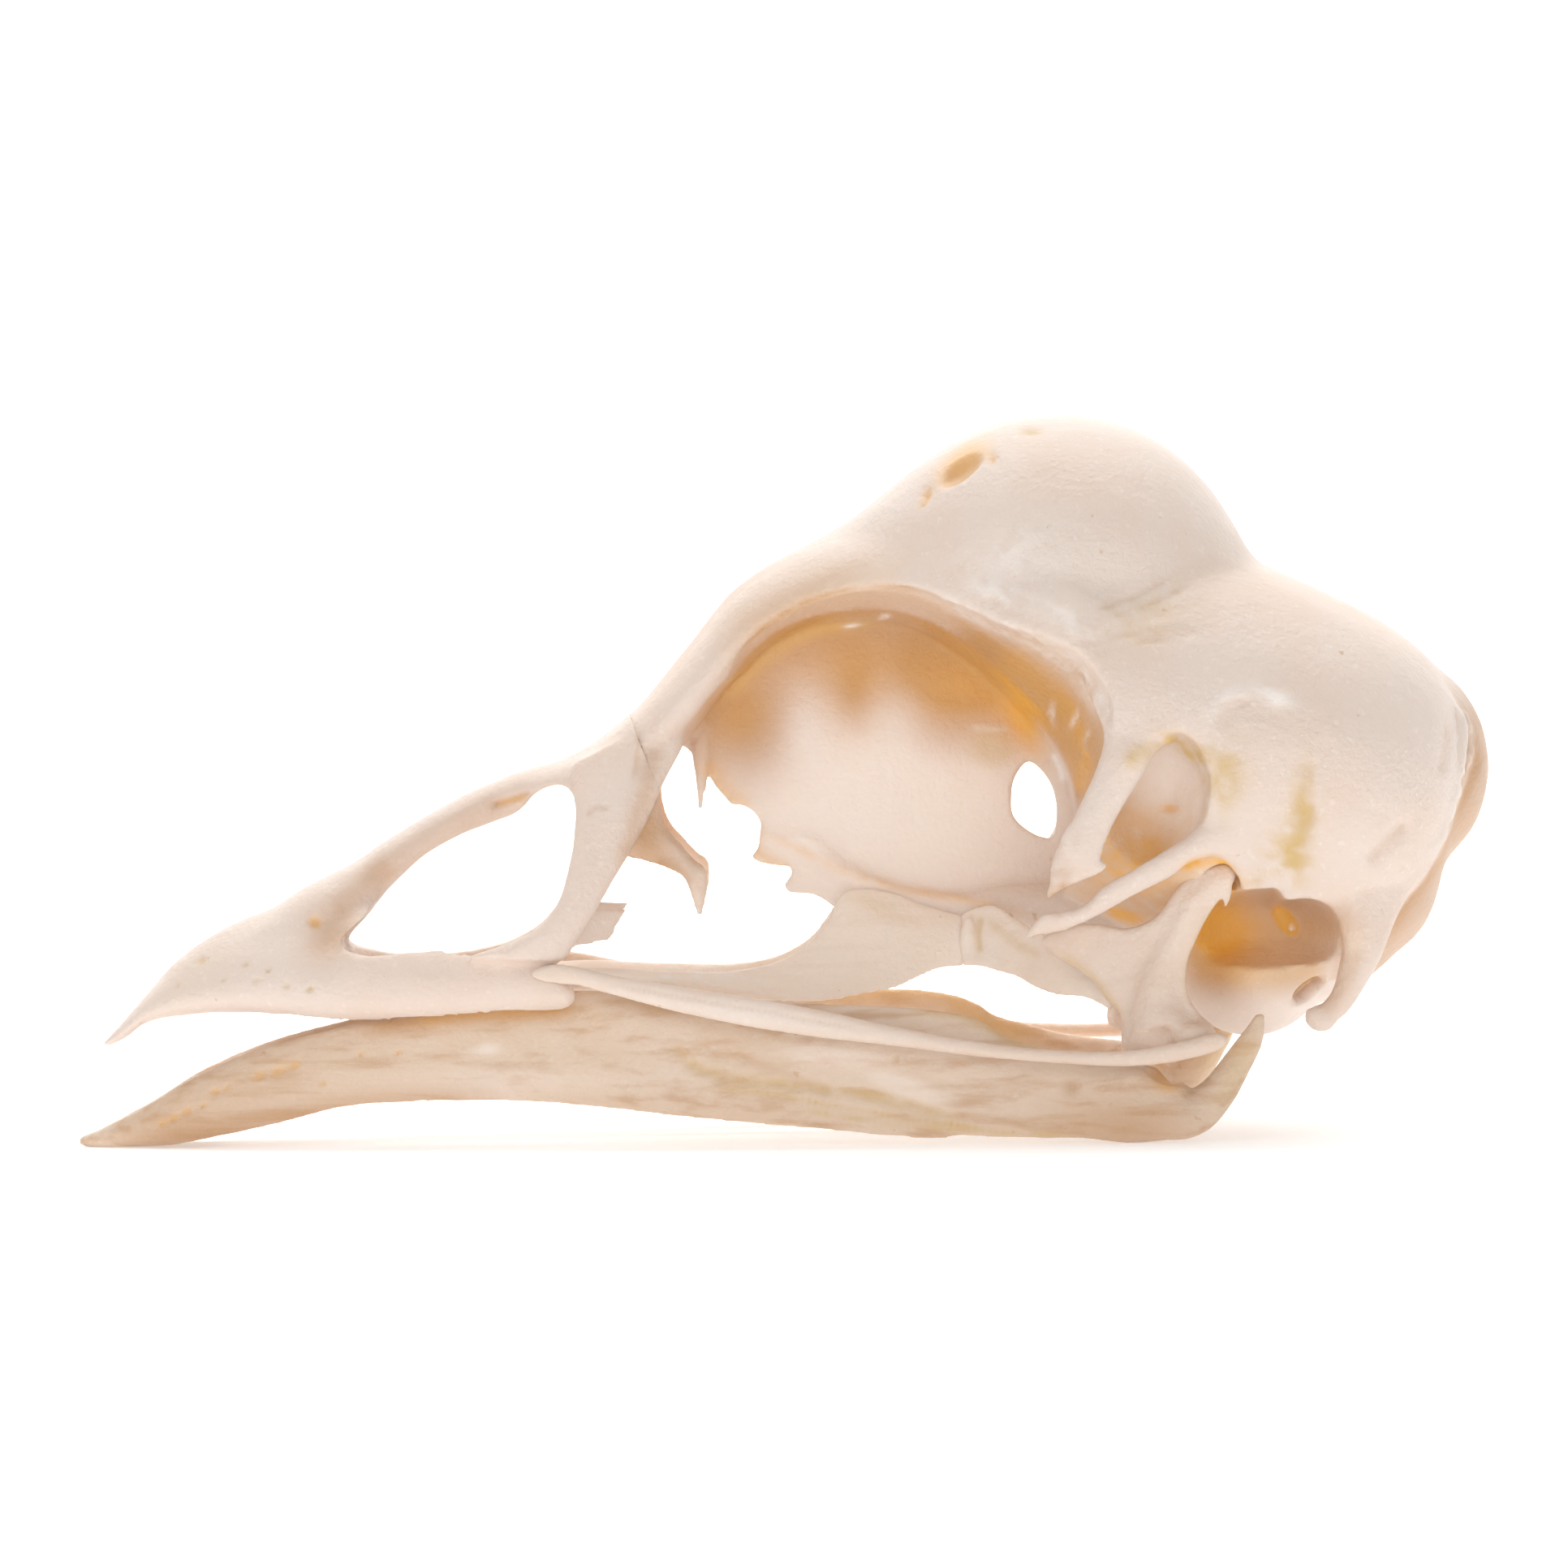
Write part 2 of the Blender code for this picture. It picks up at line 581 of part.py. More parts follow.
def build_quadrate(side, name):
    """The quadrate, with its otic and orbital processes and its jaw condyles."""
    orbital = strand("orbital", side, [
        (19.4, 10.6, 9.3, 1.7, 0.55), (17.6, 10.0, 9.4, 1.75, 0.45), (15.9, 9.3, 9.9, 1.45, 0.4),
        (14.5, 8.6, 10.5, 1.05, 0.35), (13.4, 8.0, 11.0, 0.35, 0.25)], 9, 8)
    condyle = ball("condyle", (18.9, side * 9.9, 5.4), (1.5, 2.1, 0.95), 0, 14, 8)
    return finish(joined(name, [quadrate_stem(side), orbital, condyle]), IVORY, 0.5)


# Lower jaw

def ramus(side):
    """One side of the lower jaw, from its tip to the jaw joint."""
    return strand("ramus", side, [
        (-37.35, 0.1, 0.3, 0.2, 0.25), (-36.2, 0.85, 0.65, 0.6, 0.6), (-33.2, 2.1, 1.6, 1.35, 0.8),
        (-30.5, 2.7, 2.6, 1.85, 0.85), (-27.5, 3.1, 3.5, 2.15, 0.85), (-24.0, 3.55, 4.3, 2.1, 0.8),
        (-19.5, 4.1, 4.85, 2.25, 0.8), (-15.0, 4.8, 5.1, 2.5, 0.8), (-10.5, 5.75, 5.2, 2.85, 0.85),
        (-4.5, 7.4, 4.85, 3.05, 0.85), (1.5, 8.8, 4.3, 3.1, 0.85), (6.0, 9.6, 3.95, 3.2, 0.85),
        (8.8, 10.1, 3.7, 3.2, 0.85), (10.4, 10.35, 3.2, 2.75, 0.85), (12.5, 10.7, 2.7, 2.35, 0.9),
        (15.5, 11.1, 2.3, 2.05, 1.05), (18.2, 11.4, 1.95, 2.0, 1.35), (20.4, 11.5, 1.6, 1.45, 1.3)],
        34, 10)


def symphysis():
    """The floor that joins the two sides behind the tip."""
    return body_loft("symphysis", [
        (-37.2, 0.5, 0.3, 0.05, 0.4), (-35.2, 1.2, 0.7, 0.1, 1.6), (-32.6, 2.0, 1.25, 0.5, 2.3),
        (-30.6, 2.5, 1.9, 1.2, 2.6)], 8, 14)


def retroarticular_process(side):
    """The hook that rises behind the jaw joint."""
    return strand("retroarticular", side, [
        (18.6, 11.5, 1.75, 1.6, 1.3), (20.7, 11.6, 1.45, 1.25, 1.15), (21.9, 11.6, 2.35, 0.95, 0.95),
        (22.85, 11.5, 3.75, 0.72, 0.75), (23.6, 11.4, 5.25, 0.52, 0.5), (24.1, 11.3, 6.6, 0.2, 0.2)],
        14, 12)


def inner_process(side):
    """The spine that points inward from the jaw joint."""
    return strand("inner_process", side, [
        (18.9, 11.0, 2.5, 1.5, 1.3), (18.7, 9.0, 2.8, 1.1, 0.9), (18.4, 7.5, 3.3, 0.7, 0.6),
        (18.2, 6.4, 4.0, 0.25, 0.25)], 9, 10, (1.0, 0.0, 0.0))


def floor_cut():
    """A block under the floor, which leaves small flats where the jaw stands."""
    reach = 2 * THROUGH
    corners = [(-reach, -reach), (reach, -reach), (reach, reach), (-reach, reach)]
    return loft("floor_cut", [[(x, y, z) for x, y in corners] for z in (-THROUGH, 0.0)])


def build_mandible():
    """The lower jaw, one bone from tip to tip."""
    pieces = [symphysis()]
    for maker in (ramus, retroarticular_process, inner_process):
        pieces += both_sides(maker)
    jaw = joined("mandible", pieces)
    cut(jaw, [floor_cut()])
    return finish(jaw, WARM_IVORY, 0.52)


# The whole skull

def centre_on_floor(nodes):
    """Move all nodes so that the middle of their box stands at the origin."""
    corners = np.array([thing.matrix_world @ vert.co for thing in nodes
                        for vert in thing.data.vertices])
    low, high = corners.min(axis=0), corners.max(axis=0)
    shift = Matrix.Translation((-(low[0] + high[0]) / 2, -(low[1] + high[1]) / 2, -low[2]))
    for thing in nodes:
        thing.data.transform(shift)


def main():
    """Build every bone and gather the bones in one collection."""
    for thing in list(bpy.data.objects):
        bpy.data.objects.remove(thing)
    nodes = [build_cranium(), build_upper_bill(), build_mandible()]
    paired = ((build_lacrimal, "lacrimal"), (build_jugal, "jugal"), (build_palatine, "palatine"),
              (build_pterygoid, "pterygoid"), (build_quadrate, "quadrate"))
    for maker, name in paired:
        nodes += [maker(LEFT, name + "_left"), maker(RIGHT, name + "_right")]
    centre_on_floor(nodes)
    skull = bpy.data.collections.new("chicken_skull")
    bpy.context.scene.collection.children.link(skull)
    for thing in nodes:
        bpy.context.scene.collection.objects.unlink(thing)
        skull.objects.link(thing)


main()
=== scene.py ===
"""Looks of a crested chicken's skull: each bone finely shaped and finished as dry bone.

The skull faces -X and stands on its lower jaw, with +Z up and its left side at -Y.
Shapes are worked out in millimetres, in the same place as the solids they stand for,
and become metres when they are put into a mesh.
"""
from __future__ import annotations

import json
import logging
import math
from dataclasses import KW_ONLY, dataclass, replace
from enum import Enum
from typing import ClassVar, Sequence

import bmesh
import bpy
import numpy as np
from mathutils import Matrix, Vector

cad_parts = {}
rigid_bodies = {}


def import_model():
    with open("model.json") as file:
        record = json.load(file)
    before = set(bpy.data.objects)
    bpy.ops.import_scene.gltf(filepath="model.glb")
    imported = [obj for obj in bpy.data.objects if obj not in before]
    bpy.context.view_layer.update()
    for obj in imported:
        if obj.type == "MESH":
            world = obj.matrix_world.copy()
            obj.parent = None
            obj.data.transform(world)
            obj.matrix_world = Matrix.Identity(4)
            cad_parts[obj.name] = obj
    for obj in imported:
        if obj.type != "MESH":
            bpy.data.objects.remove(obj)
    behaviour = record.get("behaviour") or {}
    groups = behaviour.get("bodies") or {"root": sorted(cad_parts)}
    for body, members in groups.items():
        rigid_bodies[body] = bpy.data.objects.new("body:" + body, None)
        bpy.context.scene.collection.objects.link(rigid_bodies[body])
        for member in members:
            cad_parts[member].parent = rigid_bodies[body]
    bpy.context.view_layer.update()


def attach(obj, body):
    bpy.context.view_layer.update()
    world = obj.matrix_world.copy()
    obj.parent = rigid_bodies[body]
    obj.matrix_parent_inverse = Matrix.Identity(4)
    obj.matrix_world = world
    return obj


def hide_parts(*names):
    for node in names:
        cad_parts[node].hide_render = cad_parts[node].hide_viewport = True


LOG = logging.getLogger("skull")
MM = 0.001

Keys = Sequence[Sequence[float]]
Grid = np.ndarray
Colour = tuple[float, float, float, float]


class Side(Enum):
    """Which side of the head a bone is on."""

    LEFT = -1
    RIGHT = 1

    @property
    def word(self) -> str:
        """The side's name as the nodes spell it."""
        return self.name.lower()


class Tone(Enum):
    """A colour laid over the ivory in some places: stains, thin bone, and painted shade, light and glints.
    """

    PALE = "pale"
    TAN = "tan"
    YELLOW = "yellow"
    AMBER = "amber"
    WHITE = "white"


# Surfaces of two parameters


def smooth_rows(keys: Keys, count: int, first: int = 0, last: int = -1) -> np.ndarray:
    """Rows read from one smooth curve through the key rows.

    Between two keys each value follows a cubic whose slopes at the keys are the
    central differences over the square root of the keys' distances.

    Args:
        keys: rows of numbers; the first three set how far apart two keys are.
        count: how many rows to read.
        first: the key row to start from.
        last: the key row to end at.

    Returns:
        An array of count rows.
    """
    rows = np.array(keys, float)
    steps = np.linalg.norm(np.diff(rows[:, :3], axis=0), axis=1) ** 0.5
    knots = np.concatenate([[0.0], np.cumsum(steps)])
    slopes = np.gradient(rows, knots, axis=0)
    places = np.linspace(knots[first], knots[last], count)
    index = np.clip(np.searchsorted(knots, places, side="right") - 1, 0, len(rows) - 2)
    span = (knots[index + 1] - knots[index])[:, None]
    t = (places - knots[index])[:, None] / span
    start, end = rows[index], rows[index + 1]
    return (start * (1 + 2 * t) * (1 - t) ** 2 + end * t * t * (3 - 2 * t)
            + span * (slopes[index] * t * (1 - t) ** 2 + slopes[index + 1] * t * t * (t - 1)))


def smooth_loop(points: Keys, count: int) -> np.ndarray:
    """A closed outline of count points, smooth through the given (x, z) points.

    Args:
        points: the (x, z) points in turn.
        count: how many points to read.

    Returns:
        An array of count (x, z) points.
    """
    closed = [(x, z, 0.0) for x, z in points]
    wrapped = closed[-2:] + closed + closed[:3]
    return smooth_rows(wrapped, count + 1, 2, len(closed) + 2)[:-1, :2]


def round_the_section(sides: int) -> tuple[np.ndarray, np.ndarray]:
    """Cosine and sine of sides equal turns round a section."""
    turn = np.arange(sides) * (2 * math.pi / sides)
    return np.cos(turn), np.sin(turn)


def squared(values: np.ndarray, power: np.ndarray | float) -> np.ndarray:
    """Cosines or sines raised to 2 / power with their sign kept: a superellipse."""
    return np.sign(values) * np.abs(values) ** (2 / power)


def eased(values: np.ndarray, start: np.ndarray | float, length: float) -> np.ndarray:
    """How far along a length from its start each value is, held between 0 and 1."""
    return np.clip((values - start) / length, 0, 1)


def upright(keys: Keys, rows: int, sides: int, upper: float = 2.2, lower: float = 2.0) -> Grid:
    """Upright sections along X.

    Point (i, j) lies in section i at turn j of a superellipse, of the half width
    across and of the height above or below the section's middle.

    Args:
        keys: rows of x, top, middle, bottom and half width.
        rows: sections along X.
        sides: points round a section.
        upper: power of the superellipse above the middle.
        lower: power below it.

    Returns:
        A grid of rows by sides points.
    """
    x, top, middle, bottom, half = smooth_rows(keys, rows).T[:, :, None]
    c, s = round_the_section(sides)
    power = np.where(s > 0, upper, lower)
    c, s = squared(c, power), squared(s, power)
    z = middle + np.where(s > 0, top - middle, middle - bottom) * s
    return np.stack([np.broadcast_to(x, z.shape), half * c, z], axis=-1)


def bar(side: Side | None, keys: Keys, rows: int, sides: int,
        across: tuple[float, float, float] = (0.0, 1.0, 0.0)) -> Grid:
    """An oval section carried along a path.

    Point (i, j) is the path's point i, plus the half height times the cosine of turn j
    along the path's normal, plus the half thickness times its sine along across.

    Args:
        side: the side of the head that y is measured on, or none for the middle.
        keys: rows of x, y, z, half height and half thickness.
        rows: sections along the path.
        sides: points round a section.
        across: the direction of the thickness.

    Returns:
        A grid of rows by sides points.
    """
    data = smooth_rows(keys, rows)
    data[:, 1] *= side.value if side else 1
    ahead = np.gradient(data[:, :3], axis=0)
    ahead /= np.linalg.norm(ahead, axis=1, keepdims=True)
    wide = np.array(across) - ahead * (ahead @ np.array(across))[:, None]
    wide /= np.linalg.norm(wide, axis=1, keepdims=True)
    tall = np.cross(ahead, wide)
    c, s = round_the_section(sides)
    return (data[:, None, :3] + tall[:, None] * data[:, None, 3:4] * c[:, None]
            + wide[:, None] * data[:, None, 4:5] * s[:, None])


def blade(side: Side, keys: Keys, rows: int, sides: int, power: float = 2.0) -> Grid:
    """A flat bone between two edges.

    Point (i, j) goes from the middle between the edges at row i towards one edge or the
    other by the cosine of turn j, and square to that, mostly outward, by the half
    thickness times its sine.

    Args:
        side: the side of the head, on which y counts outward.
        keys: rows of x, y and z on one edge, x, y and z on the other, and half thickness.
        rows: sections along the bone.
        sides: points round a section.
        power: power of the section's superellipse.

    Returns:
        A grid of rows by sides points.
    """
    data = smooth_rows(keys, rows)
    data[:, (1, 4)] *= side.value
    one, other, half = data[:, None, :3], data[:, None, 3:6], data[:, None, 6:]
    chord = (one - other) / np.linalg.norm(one - other, axis=2, keepdims=True)
    out = np.array((0.0, 1.0, 0.0)) - chord * chord[..., 1:2]
    out /= np.linalg.norm(out, axis=2, keepdims=True)
    c, s = round_the_section(sides)
    c, s = squared(c, power)[:, None], squared(s, power)[:, None]
    return (one + other) / 2 + (one - other) / 2 * c + out * half * s


def plate(side: Side, outline: np.ndarray, out: float, half: float, lean: float, pivot: float) -> Grid:
    """A thin plate with a drawn outline, which comes in towards the middle along X.

    Point (i, j) is point j of the outline, at y = out + lean (x - pivot), less or more the
    half thickness.

    Args:
        side: the side of the head.
        outline: (x, z) points.
        out: distance of the plate's middle from the middle plane at the pivot.
        half: half thickness.
        lean: how far it moves outward for each millimetre along X.
        pivot: x at which it is that far out.

    Returns:
        A grid of two rows.
    """
    y = out + lean * (outline[:, 0] - pivot)
    return np.stack([np.stack([outline[:, 0], side.value * (y + depth), outline[:, 1]], axis=-1)
                     for depth in (-half, half)])


def ball(centre: Sequence[float], radii: Sequence[float], tilt: float = 0.0,
         rows: int = 28, sides: int = 40) -> Grid:
    """An ellipsoid: rings along its X, turned about Y by tilt degrees.

    Args:
        centre: x, y and z of the middle.
        radii: half sizes along X, Y and Z before the turn.
        tilt: the turn about Y, in degrees.
        rows: rings from pole to pole.
        sides: points round a ring.

    Returns:
        A grid of rows by sides points.
    """
    opening = 0.02  # radians that each pole's small end face takes up
    polar = np.linspace(opening, math.pi - opening, rows)[:, None]
    c, s = round_the_section(sides)
    x = np.broadcast_to(-np.cos(polar), (rows, sides)) * radii[0]
    y, z = np.sin(polar) * c * radii[1], np.sin(polar) * s * radii[2]
    cos_tilt, sin_tilt = math.cos(math.radians(tilt)), math.sin(math.radians(tilt))
    turned = np.stack([x * cos_tilt + z * sin_tilt, y, z * cos_tilt - x * sin_tilt], axis=-1)
    return turned + np.array(centre)


def layers(outlines: np.ndarray, depths: Sequence[float]) -> Grid:
    """Outlines in the XZ plane, one above the other at their depths along Y.

    Args:
        outlines: one outline of (x, z) points for each depth.
        depths: y of each outline.

    Returns:
        A grid with one row for each depth.
    """
    y = np.broadcast_to(np.array(depths, float)[:, None], outlines.shape[:2])
    return np.stack([outlines[..., 0], y, outlines[..., 1]], axis=-1)


def slab(outline: np.ndarray, near: float, far: float) -> Grid:
    """An outline in the XZ plane carried straight from one depth to another."""
    return layers(np.stack([outline, outline]), (near, far))


ORIGIN = 37.7  # cells from the noise's own origin, so that no corner lies on the middle plane
CORNER_PRIMES = np.array([73856093, 19349663, 83492791])
SEED_PRIME = 6542989
MIXER = 1274126177


def lattice_noise(points: np.ndarray, pitch: float, seed: int) -> np.ndarray:
    """Soft random heights from -1 to 1.

    Each corner of a cubic lattice gets a number mixed from its whole coordinates and the
    seed, and a point takes the mean of its eight corners, weighted by a quintic ease.

    Args:
        points: places in millimetres.
        pitch: the lattice's cell in millimetres.
        seed: picks another pattern.

    Returns:
        One height for each point.
    """
    place = points / pitch + ORIGIN
    cell = np.floor(place).astype(np.int64)
    t = place - cell
    t = t ** 3 * (t * (t * 6 - 15) + 10)
    total = np.zeros(len(points))
    for corner in np.ndindex(2, 2, 2):
        mixed = np.bitwise_xor.reduce((cell + corner) * CORNER_PRIMES, axis=1) ^ (seed * SEED_PRIME)
        mixed = (mixed ^ (mixed >> 13)) * MIXER
        value = ((mixed >> 8) & 0xFFFF) / 32767.5 - 1
        total += value * np.prod(np.where(corner, t, 1 - t), axis=1)
    return total


# Marks drawn on a bone in the side view

PALE, TAN, YELLOW, AMBER, WHITE = Tone
OUT = 40.0  # millimetres from the middle plane: further out than any bone
FADE = 0.6  # millimetres over which a mark fades at its limits of depth
PATCH_CELL, PATCH_SEED, PATCH_SWING, PATCH_TOP = 0.55, 11, 1.6, 1.5  # of the noise that makes a mark uneven


@dataclass(frozen=True)
class Mark:
    """A place on a bone that takes a colour, stands out or lies in.

    Attributes:
        tone: the colour it takes, if any.
        strength: how much of that colour.
        height: how far it stands out in millimetres, or lies in where negative.
        rough: how unevenly it comes and goes, from 0 to 1.
        depth: least and most distance from the middle plane where it shows.
        only: the only side that has the mark, if not both.
    """

    tone: Tone | None
    strength: float
    _: KW_ONLY
    height: float = 0.0
    rough: float = 0.0
    depth: tuple[float, float] = (1.5, OUT)
    only: Side | None = None

    def amount(self, points: np.ndarray) -> np.ndarray:
        """The mark's share from 0 to 1 at each point in the side view."""
        raise NotImplementedError

    def reach(self, points: np.ndarray) -> np.ndarray:
        """The mark's share at each point, only at its depth and on its side.

        Args:
            points: places in millimetres.

        Returns:
            One share for each point.
        """
        share = self.amount(points)
        depth = np.abs(points[:, 1])
        low, high = self.depth
        share *= 1 - eased(depth, high - FADE / 2, FADE)
        if low:
            share *= eased(depth, low - FADE / 2, FADE)
        if self.only:
            share *= points[:, 1] * self.only.value > 0
        if self.rough:
            patches = 1 + PATCH_SWING * lattice_noise(points, PATCH_CELL, PATCH_SEED)
            share *= np.clip(1 - self.rough + self.rough * patches, 0, PATCH_TOP)
        return share


@dataclass(frozen=True)
class Line(Mark):
    """A ridge, groove or streak along a curve.

    Attributes:
        path: (x, z) points of the curve.
        width: how far from the curve it fades.
    """

    path: Keys
    width: float

    def amount(self, points: np.ndarray) -> np.ndarray:
        """Nearness to the curve: one on it, falling as a bell curve of the width.

        It is also less near the curve's two ends.

        Args:
            points: places in millimetres.

        Returns:
            One share from 0 to 1 for each point.
        """
        samples, rise, least = 12, 8, 0.15
        curve = smooth_rows([(x, z, 0.0) for x, z in self.path], samples * len(self.path))[:, :2]
        low, high = curve.min(axis=0) - 3 * self.width, curve.max(axis=0) + 3 * self.width
        flat = points[:, [0, 2]]
        near = np.all((flat > low) & (flat < high), axis=1)
        gap = np.linalg.norm(flat[near][:, None] - curve[None], axis=2)
        along = gap.argmin(axis=1) / (len(curve) - 1)
        share = np.zeros(len(points))
        share[near] = (np.exp(-(gap.min(axis=1) / self.width) ** 2)
                       * np.clip(rise * along * (1 - along) + least, 0, 1))
        return share


@dataclass(frozen=True)
class Spot(Mark):
    """An oval hollow, swelling or stain.

    Attributes:
        centre: (x, z) of its middle.
        radii: its two half sizes.
        tilt: turn in the side view, in degrees, counterclockwise as the left side shows it.
        flat: power of its fall; a high one gives a flat floor with steep sides.
    """

    centre: tuple[float, float]
    radii: tuple[float, float]
    tilt: float = 0.0
    flat: float = 2.0

    def amount(self, points: np.ndarray) -> np.ndarray:
        """One at the middle, falling by the power of the distance over the radius.

        Args:
            points: places in millimetres.

        Returns:
            One share from 0 to 1 for each point.
        """
        x, z = points[:, 0] - self.centre[0], points[:, 2] - self.centre[1]
        c, s = math.cos(math.radians(self.tilt)), math.sin(math.radians(self.tilt))
        along, across = (x * c + z * s) / self.radii[0], (z * c - x * s) / self.radii[1]
        return np.exp(-(along ** 2 + across ** 2) ** (self.flat / 2))


def within(depth: tuple[float, float], marks: Sequence[Mark], only: Side | None = None) -> list[Mark]:
    """The marks, shown only at a depth between two distances, and on one side if it is given."""
    return [replace(mark, depth=depth, only=only) for mark in marks]


# Meshes


class Workshop:
    """Turns grids into closed meshes, joins, cuts, skins and smooths them."""

    @staticmethod
    def shell(name: str, grid: Grid) -> bpy.types.Object:
        """A closed mesh on a grid: four-sided faces round it and one face at each end.

        Args:
            name: the object's name.
            grid: rows by sides points in millimetres.

        Returns:
            The new object.
        """
        rows, sides = grid.shape[:2]
        index = np.arange(rows * sides).reshape(rows, sides)
        after = np.roll(index, -1, axis=1)
        quads = np.stack([index[:-1], after[:-1], after[1:], index[1:]], axis=-1).reshape(-1, 4)
        faces = quads.tolist() + [index[0, ::-1].tolist(), index[-1].tolist()]
        mesh = bpy.data.meshes.new(name)
        mesh.from_pydata((grid.reshape(-1, 3) * MM).tolist(), [], faces)
        thing = bpy.data.objects.new(name, mesh)
        bpy.context.scene.collection.objects.link(thing)
        if Workshop.inside_out(mesh):
            mesh.flip_normals()
        return thing

    @staticmethod
    def inside_out(mesh: bpy.types.Mesh) -> bool:
        """Whether the mesh's signed volume, summed over fans of its faces, is negative.

        Args:
            mesh: a closed mesh.

        Returns:
            True where its faces look inward.
        """
        mesh.calc_loop_triangles()
        corners = np.empty(len(mesh.loop_triangles) * 3, np.int32)
        mesh.loop_triangles.foreach_get("vertices", corners)
        points = np.empty(len(mesh.vertices) * 3)
        mesh.vertices.foreach_get("co", points)
        a, b, c = points.reshape(-1, 3)[corners.reshape(-1, 3)].transpose(1, 0, 2)
        return float(np.einsum("ij,ij->i", a, np.cross(b, c)).sum()) < 0

    @staticmethod
    def freeze(thing: bpy.types.Object) -> bpy.types.Object:
        """The object with its modifiers made part of its mesh.

        Args:
            thing: the object.

        Returns:
            The same object.
        """
        bpy.context.view_layer.update()
        graph = bpy.context.evaluated_depsgraph_get()
        mesh = bpy.data.meshes.new_from_object(thing.evaluated_get(graph))
        thing.modifiers.clear()
        thing.data = mesh
        return thing

    @staticmethod
    def boolean(target: bpy.types.Object, operation: str) -> bpy.types.Modifier:
        """A modifier on the target that joins or cuts closed meshes.

        Args:
            target: the mesh object to change.
            operation: UNION or DIFFERENCE.

        Returns:
            The modifier, still without its tools.
        """
        change = target.modifiers.new("change", "BOOLEAN")
        change.operation = operation
        change.solver = "MANIFOLD"
        return change

    @staticmethod
    def combine(target: bpy.types.Object, grids: Sequence[Grid], operation: str) -> bpy.types.Object:
        """Join the shells of some grids to the target, or cut them from it.

        Args:
            target: the mesh object to change.
            grids: the surfaces to join or cut.
            operation: UNION or DIFFERENCE.

        Returns:
            The target.
        """
        group = bpy.data.collections.new("tools")
        bpy.context.scene.collection.children.link(group)
        for grid in grids:
            tool = Workshop.shell("tool", grid)
            bpy.context.scene.collection.objects.unlink(tool)
            group.objects.link(tool)
        change = Workshop.boolean(target, operation)
        change.operand_type = "COLLECTION"
        change.collection = group
        Workshop.freeze(target)
        for tool in list(group.objects):
            bpy.data.objects.remove(tool)
        bpy.data.collections.remove(group)
        return target

    @staticmethod
    def union(name: str, grids: Sequence[Grid]) -> bpy.types.Object:
        """One closed mesh from some grids."""
        first = Workshop.shell(name, grids[0])
        return Workshop.combine(first, grids[1:], "UNION") if len(grids) > 1 else first

    @staticmethod
    def join(target: bpy.types.Object, other: bpy.types.Object) -> bpy.types.Object:
        """Join another object's form to the target's, and remove the other.

        Args:
            target: the mesh object to change.
            other: the object that goes into it.

        Returns:
            The target.
        """
        Workshop.boolean(target, "UNION").object = other
        Workshop.freeze(target)
        bpy.data.objects.remove(other)
        return target

    @staticmethod
    def skin(thing: bpy.types.Object, voxel: float, rounds: int) -> bpy.types.Object:
        """Lay one even skin over a joined shape and smooth it.

        Args:
            thing: the joined shape.
            voxel: the skin's mesh size in millimetres.
            rounds: how many times each point moves half way to its neighbours' mean.

        Returns:
            The same object.
        """
        cover = thing.modifiers.new("cover", "REMESH")
        cover.mode = "VOXEL"
        cover.voxel_size = voxel * MM
        even = thing.modifiers.new("even", "SMOOTH")
        even.factor = 0.5
        even.iterations = rounds
        return Workshop.freeze(thing)

    @staticmethod
    def thin(thing: bpy.types.Object, share: float, plain: np.ndarray) -> bpy.types.Object:
        """Leave out faces where the surface is flat.

        Args:
            thing: the object.
            share: the share of its faces that is kept.
            plain: whether each point may go.

        Returns:
            The same object.
        """
        thing.vertex_groups.new(name="plain").add(np.flatnonzero(plain).tolist(), 1.0, "REPLACE")
        change = thing.modifiers.new("thin", "DECIMATE")
        change.ratio = share
        change.vertex_group = "plain"
        Workshop.freeze(thing)
        thing.vertex_groups.clear()
        return thing

    @staticmethod
    def slice_off(thing: bpy.types.Object, point: Sequence[float],
                  outward: Sequence[float]) -> bpy.types.Object:
        """Cut away all that lies beyond a plane, and close the cut.

        Args:
            thing: the object to cut.
            point: a point of the plane in millimetres.
            outward: the plane's direction, towards what goes.

        Returns:
            The same object.
        """
        work = bmesh.new()
        work.from_mesh(thing.data)
        made = bmesh.ops.bisect_plane(work, geom=work.verts[:] + work.edges[:] + work.faces[:],
                                      plane_co=Vector(point) * MM, plane_no=Vector(outward),
                                      clear_outer=True)
        rim = [edge for edge in made["geom_cut"] if isinstance(edge, bmesh.types.BMEdge)]
        bmesh.ops.triangle_fill(work, edges=rim, use_beauty=True)
        bmesh.ops.recalc_face_normals(work, faces=work.faces[:])
        work.to_mesh(thing.data)
        work.free()
        return thing


